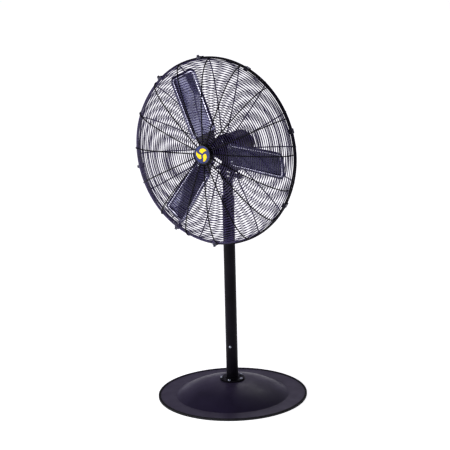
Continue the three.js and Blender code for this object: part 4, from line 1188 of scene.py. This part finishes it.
def badge_petal(front):
    """One petal of a plain pinwheel mark."""
    steps = 12
    lead, trail = [], []
    for i in range(steps + 1):
        share = i / steps
        radius = 6 + 25 * share
        start = 18 + 30 * share
        width = 84 * math.sin(math.pi * (0.14 + 0.78 * share))
        for side, angle in ((lead, start), (trail, start - width)):
            spin = math.radians(angle)
            side.append((radius * math.sin(spin), radius * math.cos(spin)))
    petal = bevelled(plate(lead + trail[::-1], 0.8), 0.15, 1, 50)
    return moved(petal, shift(y=front) @ STAND_UP)


# ---- inner pieces kept from CAD

def finish_inner_pieces():
    """The motor's insides and the hidden screws keep their CAD shape and get real finishes."""
    finishes = {
        "backing_plate": ZINC, "swivel_screw": ZINC, "hub_set_screw": STEEL,
        "motor_shaft": STEEL, "front_bearing": STEEL, "rear_bearing": STEEL,
        "stator_core": lamination_steel(), "stator_winding": enamelled_copper(),
        "run_capacitor": drawn_can(), "speed_switch": NYLON,
    }
    finishes["rotor_core"] = finishes["stator_core"]
    for node, material in finishes.items():
        mesh = frame["nodes"][node].data
        mesh.materials.clear()
        mesh.materials.append(material)


# ---- camera, floor and light

def towards(azimuth, elevation):
    """A direction out from the fan; azimuth 0 is straight ahead of it, and 90 on its left."""
    return turn(azimuth, "Z") @ turn(-elevation, "X") @ Vector((0, -1, 0))


def build_camera():
    azimuth, elevation, roll = 34.8, 19.36, 1.38
    distance, wide = 40.0, 1.9754  # metres from the fan, and across the view at the fan
    aim_height, aside, lift = 0.794, 0.0167, 0.0034
    back = towards(azimuth, elevation)
    right = turn(azimuth, "Z") @ Vector((1, 0, 0))
    aim = Vector((0, 0, aim_height)) - right * aside + right.cross(-back) * lift
    data = bpy.data.cameras.new("studio_camera")
    data.sensor_width = 36
    data.lens = 36 * distance / wide
    data.clip_end = 200
    camera = bpy.data.objects.new("studio_camera", data)
    camera.location = aim + back * distance
    camera.rotation_mode = "QUATERNION"
    level = (-back).to_track_quat("-Z", "Y")
    camera.rotation_quaternion = level @ Matrix.Rotation(math.radians(-roll), 4, "Z").to_quaternion()
    bpy.context.scene.collection.objects.link(camera)
    bpy.context.scene.camera = camera


def build_floor():
    look = start_material("studio_white_floor", "f4f4f6", 0.9)
    look.shader.inputs["Emission Color"].default_value = linear("ffffff")
    look.shader.inputs["Emission Strength"].default_value = 0.7
    shape = bmesh.new()
    bmesh.ops.create_grid(shape, x_segments=1, y_segments=1, size=60)
    moved(shape, shift(z=-0.0005))
    mesh = bpy.data.meshes.new("studio_floor")
    shape.to_mesh(mesh)
    shape.free()
    mesh.materials.append(look.material)
    floor = bpy.data.objects.new("studio_floor", mesh)
    bpy.context.scene.collection.objects.link(floor)


def build_world():
    """A bright band round the horizon under a dim ceiling."""
    world = bpy.data.worlds.new("studio_room")
    world.use_nodes = True
    bpy.context.scene.world = world
    tree = world.node_tree
    tree.nodes.clear()
    direction = add(tree, "ShaderNodeTexCoord").outputs["Generated"]
    height = add(tree, "ShaderNodeSeparateXYZ", {"Vector": direction}).outputs["Z"]
    band = add(tree, "ShaderNodeMapRange", {
        "Value": height, "From Min": 0.2, "From Max": 0.75, "To Min": 0.5, "To Max": 0.05,
    }, interpolation_type="SMOOTHSTEP")
    light = add(tree, "ShaderNodeBackground", {
        "Color": linear("ddd6f2"), "Strength": band.outputs["Result"],
    })
    add(tree, "ShaderNodeOutputWorld", {"Surface": light.outputs["Background"]})


def add_light(name, azimuth, elevation, distance, size, power):
    """A soft box that looks at the fan; azimuth 0 stands in front of it."""
    back = towards(azimuth, elevation)
    data = bpy.data.lights.new(name, "AREA")
    data.shape = "RECTANGLE"
    data.size, data.size_y = size
    data.energy = power
    lamp = bpy.data.objects.new(name, data)
    lamp.location = Vector((0, 0, 0.9)) + back * distance
    lamp.rotation_mode = "QUATERNION"
    lamp.rotation_quaternion = (-back).to_track_quat("-Z", "Y")
    bpy.context.scene.collection.objects.link(lamp)


def build_lights():
    add_light("key_softbox", -42, 5, 4.5, (1.4, 2.4), 60)
    add_light("front_softbox", -5, 12, 4.5, (2.2, 1.8), 75)
    add_light("side_softbox", 130, 20, 4.5, (0.9, 2.4), 6)
    add_light("back_softbox", 200, 35, 5, (2.5, 1.5), 20)
    bpy.context.scene.view_settings.view_transform = "Standard"
    bpy.context.scene.view_settings.look = "Medium High Contrast"


build_camera()
build_base()
build_pole()
build_yoke()
build_bracket()
build_motor()
build_propeller()
build_guard("front_wire_guard", "front_guard", inner=40, depth=105, side=-1, first_rib=15.5)
build_guard("rear_wire_guard", "rear_guard", inner=72, depth=54, side=1, first_rib=11)
build_mount()
build_clips()
build_badge()
finish_inner_pieces()
build_floor()
build_world()
build_lights()
